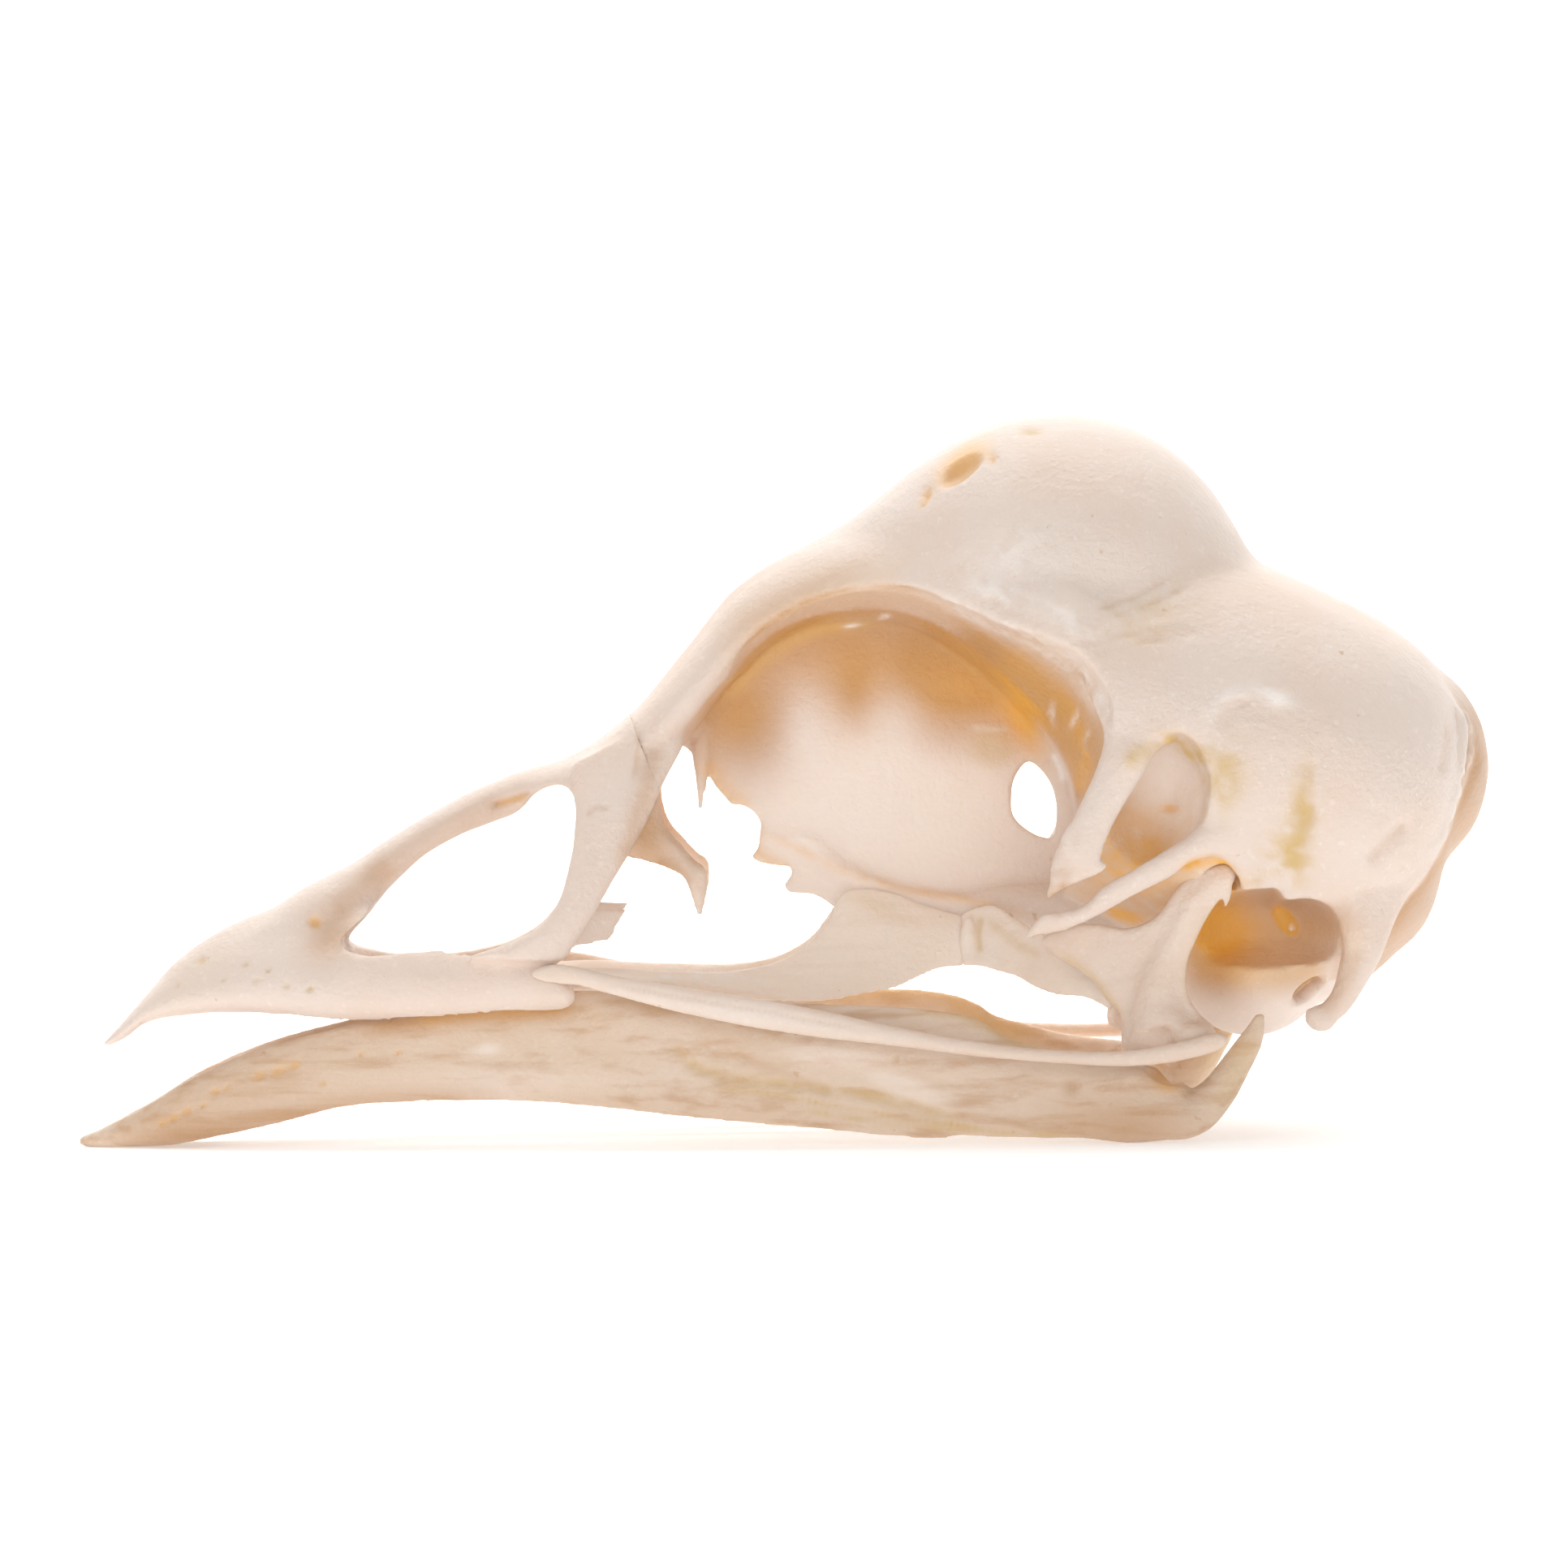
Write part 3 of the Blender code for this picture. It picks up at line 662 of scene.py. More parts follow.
class Surface:
    """The points of a finished bone, worked as whole arrays.

    Attributes:
        thing: the bone's object.
        points: its vertices in millimetres.
        ends: the two vertices of each edge.
    """

    def __init__(self, thing: bpy.types.Object) -> None:
        """Read the vertices and edges of an object's mesh.

        Args:
            thing: the bone's object.
        """
        self.thing = thing
        mesh = thing.data
        flat = np.empty(len(mesh.vertices) * 3)
        mesh.vertices.foreach_get("co", flat)
        self.points = flat.reshape(-1, 3) / MM
        ends = np.empty(len(mesh.edges) * 2, np.int32)
        mesh.edges.foreach_get("vertices", ends)
        self.ends = ends.reshape(-1, 2)
        self.links = np.bincount(ends, minlength=len(self.points)).astype(float)

    def normals(self) -> np.ndarray:
        """The vertex normals as the mesh has them.

        Returns:
            One unit normal for each vertex.
        """
        mesh = self.thing.data
        flat = np.empty(len(mesh.vertices) * 3, np.float32)
        mesh.vertex_normals.foreach_get("vector", flat)
        return flat.reshape(-1, 3).astype(float)

    def spread(self, values: np.ndarray, rounds: int) -> np.ndarray:
        """Values after each point has taken its neighbours' mean some times over.

        Args:
            values: one number for each point.
            rounds: how many times.

        Returns:
            The spread values.
        """
        a, b = self.ends.T
        count = len(values)
        for _ in range(rounds):
            total = (np.bincount(a, weights=values[b], minlength=count)
                     + np.bincount(b, weights=values[a], minlength=count))
            values = 0.5 * values + 0.5 * total / self.links
        return values

    def hollowness(self, rounds: int) -> np.ndarray:
        """How far each point lies below the surface smoothed some times over, in millimetres."""
        smooth = np.stack([self.spread(self.points[:, k], rounds) for k in range(3)], axis=1)
        return np.einsum("ij,ij->i", smooth - self.points, self.normals())

    def move(self, heights: np.ndarray) -> None:
        """Move each point along its normal by its height in millimetres.

        Args:
            heights: one height for each point.
        """
        self.points = self.points + self.normals() * heights[:, None]
        self.thing.data.vertices.foreach_set("co", (self.points * MM).ravel())
        self.thing.data.update()

    def paint(self, name: str, shares: np.ndarray) -> None:
        """Store one share from 0 to 1 for each point under a name."""
        layer = self.thing.data.attributes.new(name, "FLOAT", "POINT")
        layer.data.foreach_set("value", np.clip(shares, 0, 1).astype(np.float32))


# Finish


@dataclass(frozen=True)
class Field:
    """A noise field in a finish.

    Attributes:
        cells: its cells in a metre.
        detail: its octaves.
        low: the value up to which nothing of it shows.
        high: the value from which it shows fully.
    """

    cells: float
    detail: float
    low: float = 0.0
    high: float = 1.0


CLOUDS = Field(130.0, 4.0, 0.38, 0.72)
STREAKS = Field(1500.0, 4.0, 0.45, 0.75)
GRAINS = Field(2100.0, 2.0, 0.62, 0.72)
SPECKS = Field(1250.0, 3.0, 0.71, 0.77)
SOFT_GRAIN = Field(800.0, 8.0)
FINE_GRAIN = Field(3000.0, 3.0)


@dataclass(frozen=True)
class BoneFinish:
    """Dry, cleaned bone: ivory with warmer clouds, fine grain, and tones where marked.

    Attributes:
        ivory: the main colour.
        cloud: the warmer colour that drifts through it.
        tan: thin bone, and painted shade.
        amber: fat left in the bone.
        yellow: dried stain.
        pale: very thin bone, and painted light where light comes through thin bone.
        white: chalky bone, and painted glints.
        roughness: of the surface.
        grain: depth of the fine grain in metres.
        relief: strength of the fine grain's bump.
        clouds: how much of the warmer colour the clouds take.
        streaks: how strong the tan streaks along the bone are.
        chalk: how strong the small white grains are.
        specks: how strong the tan specks are.
        glow: share of light that passes into the bone.
        spread: how far red, green and blue light run in it, beside each other.
        reach: how far the light runs in it, in metres.
        stretch: the streaks' cells along the bone against those across it.
    """

    ivory: Colour
    cloud: Colour
    tan: Colour = (0.55, 0.31, 0.15, 1.0)
    amber: Colour = (0.86, 0.46, 0.09, 1.0)
    yellow: Colour = (0.67, 0.47, 0.21, 1.0)
    pale: Colour = (0.93, 0.82, 0.74, 1.0)
    white: Colour = (0.94, 0.89, 0.85, 1.0)
    roughness: float = 0.5
    grain: float = 0.00009
    relief: float = 0.9
    clouds: float = 0.75
    streaks: float = 0.0
    chalk: float = 0.35
    specks: float = 0.45
    glow: float = 0.1
    spread: tuple[float, float, float] = (1.0, 0.65, 0.45)
    reach: float = 0.0012
    stretch: float = 0.08

    def colour_of(self, tone: Tone) -> Colour:
        """The colour of a tone."""
        return getattr(self, tone.value)

    def make(self, name: str) -> bpy.types.Material:
        """The finish as a node material.

        Clouds are noise between ivory and cloud, under tan streaks, small white grains and
        tan specks. Each tone is then mixed over them by the share painted on the bone.

        Args:
            name: the material's name.

        Returns:
            The new material.
        """
        material = bpy.data.materials.new(name)
        material.use_nodes = True
        tree = material.node_tree
        shader = tree.nodes["Principled BSDF"]
        place = tree.nodes.new("ShaderNodeTexCoord").outputs["Object"]
        along = tree.nodes.new("ShaderNodeMapping")
        along.inputs["Scale"].default_value = (self.stretch, 1.0, 1.0)
        tree.links.new(place, along.inputs["Vector"])
        colour: Colour | bpy.types.NodeSocket = self.ivory
        for field, where, tint, most in ((CLOUDS, place, self.cloud, self.clouds),
                                         (STREAKS, along.outputs["Vector"], self.tan, self.streaks),
                                         (GRAINS, place, self.white, self.chalk),
                                         (SPECKS, place, self.tan, self.specks)):
            colour = self.mix(tree, colour, tint, self.ramp(tree, where, field, most))
        for tone in Tone:
            share = tree.nodes.new("ShaderNodeAttribute")
            share.attribute_name = tone.value
            colour = self.mix(tree, colour, self.colour_of(tone), share.outputs["Fac"])
        tree.links.new(colour, shader.inputs["Base Color"])
        shader.inputs["Roughness"].default_value = self.roughness
        shader.inputs["Metallic"].default_value = 0.0
        shader.inputs["Subsurface Weight"].default_value = self.glow
        shader.inputs["Subsurface Radius"].default_value = self.spread
        shader.inputs["Subsurface Scale"].default_value = self.reach
        self.bump(tree, place, shader)
        return material

    @staticmethod
    def noise(tree: bpy.types.NodeTree, place: bpy.types.NodeSocket, field: Field) -> bpy.types.NodeSocket:
        """The noise field's value at a place in object coordinates.

        Args:
            tree: the material's nodes.
            place: the coordinates.
            field: the noise field.

        Returns:
            The value's socket.
        """
        node = tree.nodes.new("ShaderNodeTexNoise")
        node.inputs["Scale"].default_value = field.cells
        node.inputs["Detail"].default_value = field.detail
        tree.links.new(place, node.inputs["Vector"])
        return node.outputs["Fac"]

    @staticmethod
    def ramp(tree: bpy.types.NodeTree, place: bpy.types.NodeSocket, field: Field,
             most: float) -> bpy.types.NodeSocket:
        """The field eased from 0 at its low value to most at its high one.

        Args:
            tree: the material's nodes.
            place: the coordinates.
            field: the noise field.
            most: the share at its high value.

        Returns:
            The share's socket.
        """
        node = tree.nodes.new("ShaderNodeMapRange")
        node.interpolation_type = "SMOOTHSTEP"
        node.inputs["From Min"].default_value = field.low
        node.inputs["From Max"].default_value = field.high
        node.inputs["To Max"].default_value = most
        tree.links.new(BoneFinish.noise(tree, place, field), node.inputs["Value"])
        return node.outputs["Result"]

    @staticmethod
    def mix(tree: bpy.types.NodeTree, under: bpy.types.NodeSocket | Colour, over: Colour,
            share: bpy.types.NodeSocket) -> bpy.types.NodeSocket:
        """One colour laid over another by a share.

        Args:
            tree: the material's nodes.
            under: the colour beneath.
            over: the colour on top.
            share: how much of it shows.

        Returns:
            The mixed colour's socket.
        """
        node = tree.nodes.new("ShaderNodeMix")
        node.data_type = "RGBA"
        tree.links.new(share, node.inputs["Factor"])
        if isinstance(under, bpy.types.NodeSocket):
            tree.links.new(under, node.inputs["A"])
        else:
            node.inputs["A"].default_value = under
        node.inputs["B"].default_value = over
        return node.outputs["Result"]

    def bump(self, tree: bpy.types.NodeTree, place: bpy.types.NodeSocket, shader: bpy.types.Node) -> None:
        """Fine grain: the sum of a soft and a fine noise, as bump.

        Args:
            tree: the material's nodes.
            place: the coordinates.
            shader: the shader that takes the bump.
        """
        total = tree.nodes.new("ShaderNodeMath")
        total.operation = "ADD"
        for field, socket in zip((SOFT_GRAIN, FINE_GRAIN), total.inputs):
            tree.links.new(self.noise(tree, place, field), socket)
        node = tree.nodes.new("ShaderNodeBump")
        node.inputs["Strength"].default_value = self.relief
        node.inputs["Distance"].default_value = self.grain
        tree.links.new(total.outputs[0], node.inputs["Height"])
        tree.links.new(node.outputs["Normal"], shader.inputs["Normal"])


IVORY_BONE = BoneFinish((0.80, 0.68, 0.605, 1.0), (0.78, 0.62, 0.515, 1.0), chalk=0.22)
FACE_BONE = BoneFinish((0.81, 0.67, 0.575, 1.0), (0.77, 0.60, 0.48, 1.0), streaks=0.1, chalk=0.15)
# painted light: a lighter copy of the face bone's colours for the palatines and pterygoids, which lie in
# shade
LIGHTENED_PALATE_BONE = BoneFinish((0.96, 0.85, 0.76, 1.0), (0.92, 0.78, 0.66, 1.0), streaks=0.08, chalk=0.1)
JAW_BONE = BoneFinish((0.74, 0.57, 0.43, 1.0), (0.79, 0.65, 0.54, 1.0), streaks=0.6, chalk=0.08)


# Bones

WAVES = ((1.0, 2.2, 3), (0.45, 0.7, 5))  # share, cell in millimetres and seed of each noise in the surface
HOLLOW_ROUNDS = 24  # rounds of smoothing that show where the surface is hollow


@dataclass
class Bone:
    """What all bones share: how a joined shape gets its skin, its marks and its finish.

    Attributes:
        name: the piece's name.
        nodes: the solids it stands for.
        slot: a material slot's name; not used.
        finish: the finish.
        voxel: mesh size of the skin in millimetres.
        polish: rounds of smoothing of the skin.
        kept: share of the skin's faces that is kept.
        unevenness: height of the soft unevenness of the surface.
        shade: how much painted shade, in tan, lies in hollows, a share for each millimetre.
    """

    name: str
    nodes: tuple[str, ...]
    slot: str
    finish: BoneFinish
    voxel: float = 0.2
    polish: int = 3
    kept: float = 1.0
    unevenness: float = 0.035
    shade: float = 1.2

    def shape(self) -> bpy.types.Object:
        """The joined shape, before its skin."""
        raise NotImplementedError

    def trim(self, thing: bpy.types.Object) -> bpy.types.Object:
        """The skinned bone, cut where it meets another along a sharp line."""
        return thing

    def marks(self) -> list[Mark]:
        """The marks on the bone."""
        return []

    def shaded(self, points: np.ndarray) -> np.ndarray:
        """How much painted shade, in tan, each point takes besides the marks."""
        return np.zeros(len(points))

    def fine(self, points: np.ndarray) -> np.ndarray:
        """Which points stay where the skin is thinned out."""
        return np.zeros(len(points), bool)

    def build(self) -> bpy.types.Object:
        """Make the bone, dress it and hand it over to the frame.

        Returns:
            The bone's object.
        """
        thing = Workshop.skin(self.shape(), self.voxel, self.polish)
        if self.kept < 1:
            Workshop.thin(thing, self.kept, ~self.fine(Surface(thing).points))
        thing = self.trim(thing)
        thing.name = self.name
        surface = Surface(thing)
        heights = self.unevenness * sum(share * lattice_noise(surface.points, cell, seed)
                                        for share, cell, seed in WAVES)
        tones = {tone: np.zeros(len(surface.points)) for tone in Tone}
        for mark in self.marks():
            share = mark.reach(surface.points)
            heights += mark.height * share
            if mark.tone:
                tones[mark.tone] += mark.strength * share
        surface.move(heights)
        # painted shade: tan laid in the hollows, and wherever shaded() gives it
        tones[TAN] += self.shade * np.clip(surface.hollowness(HOLLOW_ROUNDS), 0, 1)
        tones[TAN] += self.shaded(surface.points)
        for tone, shares in tones.items():
            surface.paint(tone.value, shares)
        thing.data.materials.clear()
        thing.data.materials.append(self.finish.make(self.name + "_bone"))
        thing.data.shade_smooth()
        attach(thing, "root")
        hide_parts(*self.nodes)
        thing.data.calc_loop_triangles()
        LOG.info("%s: %d triangles", self.name, len(thing.data.loop_triangles))
        return thing


@dataclass(frozen=True)
class Hinge:
    """The bending line between the bill and the roof of the skull.

    Attributes:
        foot: (x, z) where it meets the orbit.
        top: (x, z) on the profile.
        lap: how far each bone stays short of the line, or goes past it where negative.
    """

    foot: tuple[float, float] = (-6.3, 18.0)
    top: tuple[float, float] = (-8.1, 22.4)
    lap: float = -0.02

    def part(self, thing: bpy.types.Object, way: int) -> bpy.types.Object:
        """Keep what lies behind the line where way is 1, or before it where it is -1.

        Args:
            thing: the bone.
            way: 1 for the skull, -1 for the bill.

        Returns:
            The same object.
        """
        along = Vector((self.top[0] - self.foot[0], 0.0, self.top[1] - self.foot[1])).normalized()
        ahead = Vector((-along.z, 0.0, along.x)) * way
        foot = Vector((self.foot[0], 0.0, self.foot[1]))
        return Workshop.slice_off(thing, foot - ahead * self.lap, ahead)


@dataclass(frozen=True)
class Head:
    """The big soft form that the braincase, the knob and the roof melt into.

    Attributes:
        knob_top: height of the knob.
        knob_half: half width of the knob.
        case_half: half width of the braincase.
        voxel: mesh size of the form in millimetres.
        rounds: rounds of smoothing that melt its forms together.
    """

    knob_top: float = 38.0
    knob_half: float = 11.0
    case_half: float = 14.4
    voxel: float = 0.36
    rounds: int = 26

    def build(self, name: str) -> bpy.types.Object:
        """The melted form with its eye sockets.

        Args:
            name: the object's name.

        Returns:
            The new object.
        """
        head = Workshop.skin(Workshop.union(name, self.forms()), self.voxel, self.rounds)
        hollows = [hollow(side) for side in Side for hollow in (self.socket, self.temporal_hollow)]
        return Workshop.combine(head, hollows, "DIFFERENCE")

    def forms(self) -> list[Grid]:
        """The forms before they melt.

        Returns:
            The closed surfaces.
        """
        half, top = self.case_half, self.knob_top
        case = upright([
            (12.5, 29.0, 22.5, 14.5, 9.0), (14.0, 31.0, 22.0, 12.6, 12.4),
            (16.5, 31.6, 21.4, 11.2, 13.9), (20.5, 31.2, 20.6, 9.0, half),
            (24.5, 30.3, 19.9, 6.4, half + 0.1), (28.5, 28.55, 19.3, 6.6, half - 0.1),
            (31.7, 26.85, 18.7, 8.4, 12.9), (34.0, 25.15, 18.6, 11.6, 10.2),
            (35.35, 23.4, 18.9, 14.8, 7.0), (36.0, 21.7, 19.2, 16.9, 3.4)], 60, 72, 2.25, 1.9)
        roof = upright([
            (-10.0, 21.1, 19.2, 17.2, 4.9), (-8.0, 22.6, 20.6, 18.3, 5.6),
            (-5.0, 26.05, 23.3, 21.3, 6.15), (-2.5, 29.0, 26.0, 24.3, 6.35),
            (1.0, 31.15, 28.3, 26.7, 6.8), (5.0, 32.6, 28.9, 27.0, 7.7),
            (9.0, 33.0, 28.3, 25.0, 9.7), (12.5, 33.0, 26.6, 22.0, 11.9),
            (15.5, 32.5, 24.4, 20.0, 13.5), (18.5, 31.0, 23.0, 20.0, 12.0)], 56, 56, 2.0, 2.2)
        knob = upright([
            (-1.5, 29.5, 28.2, 27.0, 2.0), (3.9, 32.75, 29.0, 25.0, 5.4),
            (8.2, 36.0, 29.3, 23.0, 8.8), (12.0, top - 0.3, 29.3, 22.0, 10.6),
            (15.6, top, 29.2, 22.0, self.knob_half), (19.3, top - 1.0, 28.9, 22.0, 10.5),
            (22.2, 34.8, 28.4, 22.0, 8.6), (24.4, 31.6, 27.6, 22.0, 6.2),
            (25.8, 28.8, 26.6, 23.0, 3.2)], 48, 64)
        cerebellum = ball((33.0, 0.0, 19.1), (4.5, 6.4, 5.7))
        occiput = ball((31.5, 0.0, 12.2), (2.9, 8.6, 3.9), 35)
        ear_floor = ball((24.6, 0.0, 8.3), (3.9, 9.7, 3.5))
        ear_rear = ball((27.0, 0.0, 9.4), (2.4, 9.4, 2.8), 30)
        return [case, roof, knob, cerebellum, occiput, ear_floor, ear_rear]

    @staticmethod
    def socket(side: Side) -> Grid:
        """The eye socket's hollow.

        At depth y its outline lies between the narrow one at the septum and the rim's,
        by the power 0.85 of the share of the way out, and flares past the rim.

        Args:
            side: the side of the head.

        Returns:
            The hollow to cut.
        """
        inner = smooth_loop([
            (-4.5, 20.0), (-2.5, 23.7), (-1.2, 25.4), (1.2, 26.8), (4.2, 27.2), (6.4, 26.9), (8.5, 25.9),
            (10.6, 24.3), (12.5, 22.2), (14.2, 20.0), (15.1, 17.8), (15.2, 15.0), (13.5, 10.0),
            (9.0, 5.5), (1.3, 3.5), (-6.5, 5.5), (-9.0, 14.5)], 120)
        rim = smooth_loop([
            (-5.2, 20.8), (-4.1, 23.3), (-2.9, 26.2), (0.5, 28.6), (3.7, 29.6), (6.8, 29.6), (9.2, 28.5),
            (11.3, 27.2), (13.3, 26.1), (15.2, 24.7), (16.5, 22.7), (16.7, 20.7), (15.9, 17.0),
            (13.9, 11.2), (9.9, 5.3), (1.3, 3.2), (-9.5, 6.5)], 120)
        depths = np.array([0.2, 0.45, 0.9, 1.6, 2.6, 4.0, 5.6, 7.4, 9.2, 11.0, 13.0, 16.0, 20.0])
        start, way, power = 0.45, 10.5, 0.85
        share = np.clip((depths - start) / way, 0, None) ** power
        outlines = inner + (rim - inner) * share[:, None, None]
        return layers(outlines, side.value * depths)

    @staticmethod
    def temporal_hollow(side: Side) -> Grid:
        """The hollow behind the postorbital spine."""
        return ball((19.0, side.value * 15.2, 16.8), (2.7, 5.2, 4.9), 20)


@dataclass
class Cranium(Bone):
    """The braincase, knob, roof and septum of the orbits, with their spines.

    Attributes:
        septum_half: half the thickness of the wall between the orbits.
        wall: distance from the middle plane within which no point of the skin goes.
        shadow: how much painted shadow, in tan, lies behind the ridge at the back.
        ear_box: two corners of the box round the left ear, mirrored, where no point goes either.
        ridge: heights, and that ridge's x and distance from the middle plane at each.
    """

    septum_half: float = 0.42
    wall: float = 1.3
    shadow: float = 0.68
    ear_box: ClassVar[Keys] = ((20.3, 0.0, 5.8), (29.4, 12.4, 13.3))
    ridge: ClassVar[Keys] = ((8.0, 10.2, 12.6, 14.6, 16.3, 17.9, 19.4, 21.0, 22.9),
                             (29.8, 30.6, 31.6, 32.7, 33.6, 34.3, 34.9, 35.2, 34.6),
                             (9.9, 9.6, 8.9, 8.2, 7.7, 7.2, 6.4, 5.4, 4.2))

    def shape(self) -> bpy.types.Object:
        """The melted head joined by its plates and spines, then pierced.

        Returns:
            The bone's object, not yet dressed.
        """
        head = Head().build("head")
        added = [self.septum(), self.rostrum(), ball((30.4, 0.0, 8.0), (1.3, 1.2, 1.0))]
        added += [ball((27.7, side.value * 10.2, 6.25), (0.85, 0.6, 0.72), 20, 20, 24) for side in Side]
        paired = (self.postorbital, self.postorbital_foot, self.zygomatic, self.paroccipital, self.spike,
                  UpperBill.strut, self.nuchal_crest)
        added += [form(side) for side in Side for form in paired]
        Workshop.combine(head, added, "UNION")
        cuts = [self.fenestra(), self.knob_hole(), self.foramen_magnum()]
        cuts += [form(side) for side in Side for form in (self.ear, self.quadrate_seat)]
        return Workshop.combine(head, cuts, "DIFFERENCE")

    def trim(self, thing: bpy.types.Object) -> bpy.types.Object:
        """Cut at the hinge."""
        return Hinge().part(thing, 1)

    def fine(self, points: np.ndarray) -> np.ndarray:
        """The septum and the ear, whose flat walls carry small colours.

        Args:
            points: places in millimetres.

        Returns:
            True for each point in one of them.
        """
        folded = np.abs(points)
        low, high = self.ear_box
        return (folded[:, 1] < self.wall) | np.all((folded > low) & (folded < high), axis=1)

    def shaded(self, points: np.ndarray) -> np.ndarray:
        """Painted shadow in tan behind the ridge at the back: inward of it and further back than it at each
        height.

        It fades over 0.8 millimetres at the ridge and over 2 and 2.5 below and above.

        Args:
            points: places in millimetres.

        Returns:
            One share of tan for each point.
        """
        z, heights = points[:, 2], self.ridge[0]
        ridge_x, ridge_y = (np.interp(z, heights, row) for row in self.ridge[1:])
        behind = eased(points[:, 0], ridge_x - 0.48, 0.8)
        behind *= 1 - eased(np.abs(points[:, 1]), ridge_y - 0.8, 0.8)
        return self.shadow * behind * eased(z, 6.5, 2.0) * (1 - eased(z, 21.5, 2.5))

    def septum(self) -> Grid:
        """The thin wall between the orbits, with its broken front edge."""
        edge = np.array([
            (-6.2, 21.8), (-5.4, 20.9), (-4.9, 20.4), (-4.3, 20.2), (-4.1, 19.5), (-3.7, 18.7),
            (-3.2, 18.1), (-2.8, 17.6), (-2.2, 17.6), (-1.6, 17.2), (-1.25, 16.6), (-1.35, 15.9),
            (-1.4, 15.3), (-1.85, 14.8), (-1.4, 14.5), (-0.5, 14.35), (0.35, 14.25), (0.4, 13.9),
            (-0.1, 13.3), (0.1, 12.9), (1.4, 12.8), (2.0, 12.5), (2.6, 12.0), (5.5, 12.0),
            (9.0, 11.5), (14.0, 11.2), (19.0, 12.0), (19.0, 28.0), (12.0, 30.0), (4.0, 30.5),
            (-1.0, 28.0), (-4.0, 24.8)])
        return slab(edge, -self.septum_half, self.septum_half)

    @staticmethod
    def rostrum() -> Grid:
        """The keel along the foot of the septum."""
        return bar(None, [
            (-1.0, 0.0, 15.9, 0.4, 0.5), (1.2, 0.0, 15.6, 0.5, 0.6), (2.6, 0.0, 14.4, 0.55, 0.75),
            (5.5, 0.0, 12.7, 0.65, 0.95), (9.0, 0.0, 11.9, 0.8, 1.2), (11.5, 0.0, 11.9, 1.2, 1.8),
            (14.5, 0.0, 11.7, 1.6, 2.6), (20.0, 0.0, 11.5, 3.0, 4.5)], 60, 28)

    @staticmethod
    def spike(side: Side) -> Grid:
        """The splinter that hangs at the front of the septum."""
        return bar(side, [
            (-4.0, 0.4, 22.0, 0.3, 0.25), (-4.4, 0.55, 20.7, 0.5, 0.35), (-4.38, 0.7, 19.4, 0.38, 0.3),
            (-4.42, 0.75, 18.4, 0.27, 0.22), (-4.5, 0.75, 17.3, 0.1, 0.1)], 16, 12)

    @staticmethod
    def postorbital(side: Side) -> Grid:
        """The spine that closes the orbit behind, from the temple to its pointed foot.

        The right one's lower half stands 0.7 millimetres further back.

        Args:
            side: the side of the head.

        Returns:
            Its surface.
        """
        keys = np.array([
            (15.6, 11.2, 24.0, 21.5, 11.8, 23.5, 1.4), (16.3, 12.4, 22.4, 20.9, 13.0, 21.5, 1.2),
            (16.6, 13.0, 21.3, 19.4, 13.5, 20.5, 1.0), (16.4, 13.4, 20.2, 18.7, 13.8, 19.4, 0.85),
            (15.9, 13.6, 19.0, 17.9, 13.9, 18.2, 0.72), (15.2, 13.8, 17.6, 17.1, 14.0, 16.9, 0.62),
            (14.4, 13.9, 16.2, 16.5, 14.1, 15.6, 0.55), (13.9, 13.9, 15.2, 16.2, 14.1, 14.8, 0.5),
            (13.6, 13.9, 14.2, 15.7, 14.0, 14.0, 0.42), (13.5, 13.9, 13.4, 14.4, 14.0, 13.3, 0.3),
            (13.3, 13.9, 12.8, 13.5, 13.9, 12.75, 0.12)])
        if side is Side.RIGHT:
            keys[:, (0, 3)] += 0.7 * (1 - eased(keys[:, (2, 5)], 17.0, 3.0))
        return blade(side, keys, 60, 28)

    @staticmethod
    def postorbital_foot(side: Side) -> Grid:
        """The heel of that spine, which points back."""
        return blade(side, [
            (14.4, 14.0, 15.2, 14.5, 14.0, 13.6, 0.35), (15.4, 14.0, 15.3, 15.4, 14.0, 13.8, 0.4),
            (16.1, 14.0, 14.95, 16.1, 14.0, 14.05, 0.3),
            (16.6, 14.0, 14.6, 16.6, 14.0, 14.35, 0.14)], 16, 16)

    @staticmethod
    def zygomatic(side: Side) -> Grid:
        """The spine that runs forward over the quadrate and ends in a broad flat point."""
        return blade(side, [
            (26.0, 11.6, 18.6, 26.0, 11.4, 14.2, 1.2), (23.6, 12.6, 18.0, 23.8, 12.4, 14.6, 1.0),
            (22.0, 13.1, 17.0, 22.4, 12.8, 14.9, 0.85), (20.7, 13.3, 15.9, 21.0, 12.9, 14.5, 0.7),
            (19.4, 13.3, 15.1, 19.7, 12.9, 13.75, 0.58), (17.9, 13.3, 14.25, 18.1, 12.9, 12.95, 0.5),
            (16.5, 13.2, 13.45, 16.6, 12.8, 12.15, 0.42), (15.5, 13.0, 12.5, 15.2, 12.6, 11.5, 0.38),
            (14.4, 12.8, 12.15, 14.2, 12.4, 11.1, 0.33), (13.3, 12.6, 12.0, 13.2, 12.2, 10.95, 0.26),
            (12.7, 12.3, 11.4, 12.6, 12.1, 10.75, 0.2),
            (12.2, 12.1, 10.8, 12.15, 12.0, 10.65, 0.08)], 60, 24)

    @staticmethod
    def paroccipital(side: Side) -> Grid:
        """The wing that hangs behind the ear opening and ends in a blunt hook."""
        return blade(side, [
            (28.2, 11.6, 15.2, 34.4, 6.8, 15.4, 1.5), (28.6, 11.4, 13.2, 32.9, 7.8, 13.4, 1.3),
            (28.9, 11.1, 11.4, 31.8, 8.6, 11.6, 1.05), (28.9, 10.9, 9.8, 31.0, 9.2, 10.0, 0.85),
            (28.75, 10.7, 8.5, 30.4, 9.6, 8.5, 0.7), (28.25, 10.5, 7.4, 29.6, 9.8, 7.2, 0.6),
            (27.75, 10.4, 6.95, 28.9, 10.0, 6.3, 0.52), (27.5, 10.3, 6.55, 28.2, 10.1, 5.9, 0.44)], 48, 28)

